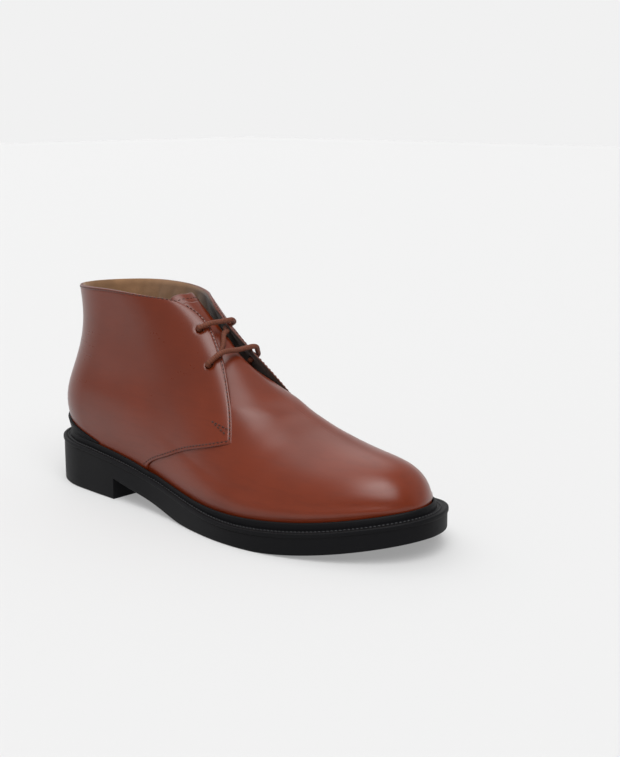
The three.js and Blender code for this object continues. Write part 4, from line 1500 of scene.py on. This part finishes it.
class BOOT_OT_insole(bpy.types.Operator):
    """Insole: a soft board with a dished suede face"""

    bl_idname = "boot.insole"
    bl_label = "Insole"

    def execute(self, context):
        leather = context.scene.boot_leather
        outer, inner = ring_outline(lambda x: np.full(len(x), leather.lining_skin - FIT))
        start, end = outer[0, 0], outer[-1, 0]
        x_places = start + (end - start) * (1 - np.cos(np.linspace(0, math.pi, 110))) / 2
        x_places[0] += 0.01 * MM
        x_places[-1] -= 0.01 * MM

        def section(x, left, right):
            low, width = float(seat_z(x)) + FIT, right - left
            dish = 0.8 * MM * float(ease((x - start) / (15 * MM)) * ease((end - x) / (20 * MM)))
            points = []
            for share in np.linspace(0, 1, 15):
                rise = 3.0 * MM - dish * math.sin(math.pi * share) + dish * 0.6
                points.append((x, right - width * share, low + rise))
            points.append((x, left, low))
            points.append((x, left + width * 0.5, low))
            points.append((x, right, low))
            return points

        form = Form()
        add_sections(form, x_places, outer, inner, section)
        lining = suede_lining("insole_suede", leather.lining)
        piece = form.make("sock", [lining], sharp=math.radians(50))
        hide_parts("insole")
        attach(piece, "root")
        return {"FINISHED"}


def lace_route(leather, lace):
    """Places that the lace passes, from its hidden low end to its hidden top end."""
    radius = lace.diameter / 2
    over = leather.quarter_skin + FIT + radius
    under = leather.lining_skin - FIT - radius
    top_near, top_far, low_near, low_far = [seat[2:] for seat in eyelet_seats()]

    def toward_ridge(eyelet, at, share, growth):
        x = eyelet[0] + (float(station_x(at)) - eyelet[0]) * share
        z = eyelet[1] + (float(ridge_z(station_x(at))) - eyelet[1]) * share
        return on_last(x, z, eyelet[2], growth)

    def toward_edge(eyelet, at, share):
        edge_x = float(station_x(at))
        x = eyelet[0] + (edge_x - eyelet[0]) * share
        z = eyelet[1] + (float(edge_height(edge_x)) - eyelet[1]) * share
        return on_last(x, z, eyelet[2], over + 0.04 * MM)

    def bar(near, far, at):
        near_edge, far_edge = toward_edge(near, at, 1), toward_edge(far, at, 1)
        middle = (near_edge + far_edge) / 2
        return [toward_edge(far, at, 0.5), far_edge, middle, near_edge, toward_edge(near, at, 0.5)]

    def inward(eyelet):
        x, z, side = eyelet
        depths = (over - 0.4 * MM, (leather.quarter_skin + leather.lining_skin) / 2, under + 0.4 * MM)
        return [on_last(x, z, side, depth) for depth in depths]

    def tail(eyelet):
        x, z, side = eyelet
        return [on_last(x - lace.tail * share, z - lace.tail * share, side, under) for share in (0.4, 0.7)]

    middle = CROSSING_AT

    def under_facing(share, forward):
        x = low_near[0] + (float(station_x(middle)) - low_near[0]) * share + forward
        z = low_near[1] + (float(ridge_z(station_x(middle))) - low_near[1]) * share
        return on_last(x, z, LATERAL, under)

    diagonal = [
        under_facing(0.3, 2.6 * MM), under_facing(0.65, 3.2 * MM),
        on_ridge(middle, under + 0.2 * MM),
        toward_ridge(top_far, middle, 0.75, under), toward_ridge(top_far, middle, 0.35, under),
    ]
    return np.array([
        *tail(low_far)[::-1], *inward(low_far)[::-1],
        *bar(low_near, low_far, LOW_BAR_AT),
        *inward(low_near), *diagonal, *inward(top_far)[::-1],
        *bar(top_near, top_far, TOP_BAR_AT),
        *inward(top_near), *tail(top_near),
    ])


class BOOT_OT_lace(bpy.types.Operator):
    """Lace: one waxed cord through both pairs of eyelets"""

    bl_idname = "boot.lace"
    bl_label = "Lace"

    def execute(self, context):
        leather, lace, *_ = settings_of(context)
        route = lace_route(leather, lace)
        line = resample(through(route), np.linspace(0, 1, 420))
        length = length_from(line, 0)
        forward = unit(np.gradient(line, axis=0))
        across = np.empty_like(line)
        side = np.cross(forward[0], (0, 0, 1.0))
        for i, way in enumerate(forward):
            side = side - way * (side @ way)
            side = side / np.linalg.norm(side)
            across[i] = side
        over = np.cross(across, forward)
        rounds = 20
        turn = np.linspace(0, 2 * math.pi, rounds, endpoint=False)
        radius = lace.diameter / 2 * (1 + 0.02 * np.sin(length / (1.1 * MM)))
        form = Form()
        loops = line[:, None] + radius[:, None, None] * (
            across[:, None] * np.cos(turn)[None, :, None] + over[:, None] * np.sin(turn)[None, :, None]
        )
        numbers = form.add_points(loops, np.repeat(length[:, None], rounds, axis=1))
        form.add_grid(numbers, close=True, flip=True)
        form.add_faces([numbers[0], numbers[-1][::-1]])
        cord = waxed_cord("waxed_cord", lace.cord, lace.diameter)
        piece = form.make("round_lace", [cord], mark_name="along")
        around = piece.data.attributes.new("around", "FLOAT", "POINT")
        around.data.foreach_set("value", np.tile(turn, len(line)).astype(np.float32))
        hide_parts("lace")
        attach(piece, "root")
        return {"FINISHED"}


# Camera: degrees round from the boot's outer side and up, metres away, lens over frame height
CAMERA_TURN = 42.9
CAMERA_RISE = 11.9
CAMERA_REACH = 0.818
LENS_TO_FRAME = 1.74514


class BOOT_OT_studio(bpy.types.Operator):
    """Studio: pale floor, soft lamps and the camera"""

    bl_idname = "boot.studio"
    bl_label = "Studio"

    def shade_air(self, tree, studio):
        """Dim light all round with soft lamps in it, a bright wall behind the boot and a low one round it."""
        finish = Finish.over(tree)
        way = finish.spot("Generated")
        height = finish.dotted(way, (0.0, 0.0, 1.0))
        before = finish.dotted(way, (0.93, -0.34, 0.14)).between(0.4, 0.9)
        behind = finish.dotted(way, (-0.68, 0.73, 0.0)).between(0.1, 0.5)
        low = 1 - height.between(0.1, 0.22)
        horizon = 1 - height.between(0.07, 0.1)
        wall = 1 - (1 - behind * low) * (1 - horizon)
        front = finish.dotted(way, (0.476, -0.321, 0.819)).between(0.855, 0.985)
        top = finish.dotted(way, (0.1, -0.15, 0.984)).between(0.93, 0.985)
        rear = finish.dotted(way, (-0.629, 0.229, 0.743)).between(0.76, 0.93)
        strength = studio.sky * (1 - 0.75 * before) + rear * studio.rear
        strength = strength + front * studio.front + top * studio.top
        strength = strength + wall * (studio.backdrop - strength)
        air = finish.node("ShaderNodeBackground", None, {"Color": (1, 1, 1, 1), "Strength": strength})
        output = tree.nodes.new("ShaderNodeOutputWorld")
        tree.links.new(air.socket, output.inputs["Surface"])

    def execute(self, context):
        studio = context.scene.boot_studio
        form = Form()
        reach = np.linspace(-6, 6, 25)
        grid = np.stack(np.meshgrid(reach, reach), axis=-1)
        grid = np.concatenate([grid, np.zeros(grid.shape[:-1] + (1,))], axis=-1)
        form.add_grid(form.add_points(grid))
        floor = form.make("floor", [studio_floor("floor_paper", studio.floor, studio.glow)])
        floor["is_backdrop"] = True
        world = bpy.data.worlds.new("studio_air")
        world.use_nodes = True
        self.shade_air(world.node_tree, studio)
        context.scene.world = world
        context.scene.view_settings.view_transform = "Standard"
        turn, rise = math.radians(CAMERA_TURN), math.radians(CAMERA_RISE)
        back = Vector((math.sin(turn) * math.cos(rise), -math.cos(turn) * math.cos(rise), math.sin(rise)))
        right = Vector((math.cos(turn), math.sin(turn), 0))
        up = back.cross(right)
        lens = bpy.data.cameras.new("camera")
        lens.sensor_width = 36
        lens.lens = lens.sensor_width * LENS_TO_FRAME
        camera = bpy.data.objects.new("camera", lens)
        spot = Vector((0.112, 0, 0.06)) + back * CAMERA_REACH + right * 0.0471 + up * 0.0207
        camera.matrix_world = Matrix.Translation(spot) @ Matrix((right, up, back)).transposed().to_4x4()
        context.collection.objects.link(camera)
        context.scene.camera = camera
        return {"FINISHED"}


PIECES = (
    BOOT_OT_studio, BOOT_OT_lace, BOOT_OT_quarters, BOOT_OT_vamp, BOOT_OT_stitching,
    BOOT_OT_welt, BOOT_OT_outsole, BOOT_OT_guard, BOOT_OT_insole,
)


class BOOT_PT_panel(bpy.types.Panel):
    """Pieces and settings of the boot"""

    bl_idname = "BOOT_PT_panel"
    bl_label = "Chukka boot"
    bl_space_type = "VIEW_3D"
    bl_region_type = "UI"
    bl_category = "Boot"

    def draw(self, context):
        for piece in PIECES:
            self.layout.operator(piece.bl_idname)
        for group in settings_of(context):
            box = self.layout.box()
            for name in group.__annotations__:
                box.prop(group, name)


GROUPS = {
    "boot_leather": BootLeather,
    "boot_lace": BootLace,
    "boot_sole": BootSole,
    "boot_studio": BootStudio,
}
CLASSES = (*GROUPS.values(), *PIECES, BOOT_PT_panel)


def register():
    for kind in CLASSES:
        bpy.utils.register_class(kind)
    for name, kind in GROUPS.items():
        setattr(bpy.types.Scene, name, bpy.props.PointerProperty(type=kind))


def unregister():
    for name in GROUPS:
        delattr(bpy.types.Scene, name)
    for kind in reversed(CLASSES):
        bpy.utils.unregister_class(kind)


def main():
    register()
    bpy.ops.boot.studio()
    bpy.ops.boot.lace()
    bpy.ops.boot.quarters()
    bpy.ops.boot.vamp()
    bpy.ops.boot.stitching()
    bpy.ops.boot.welt()
    bpy.ops.boot.outsole()
    bpy.ops.boot.heel_guard()
    bpy.ops.boot.insole()
    boxes = {"solids": SOLIDS_BOX, "looks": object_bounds()}
    plain = {name: [[float(value) for value in corner] for corner in box] for name, box in boxes.items()}


if __name__ == "__main__":
    main()
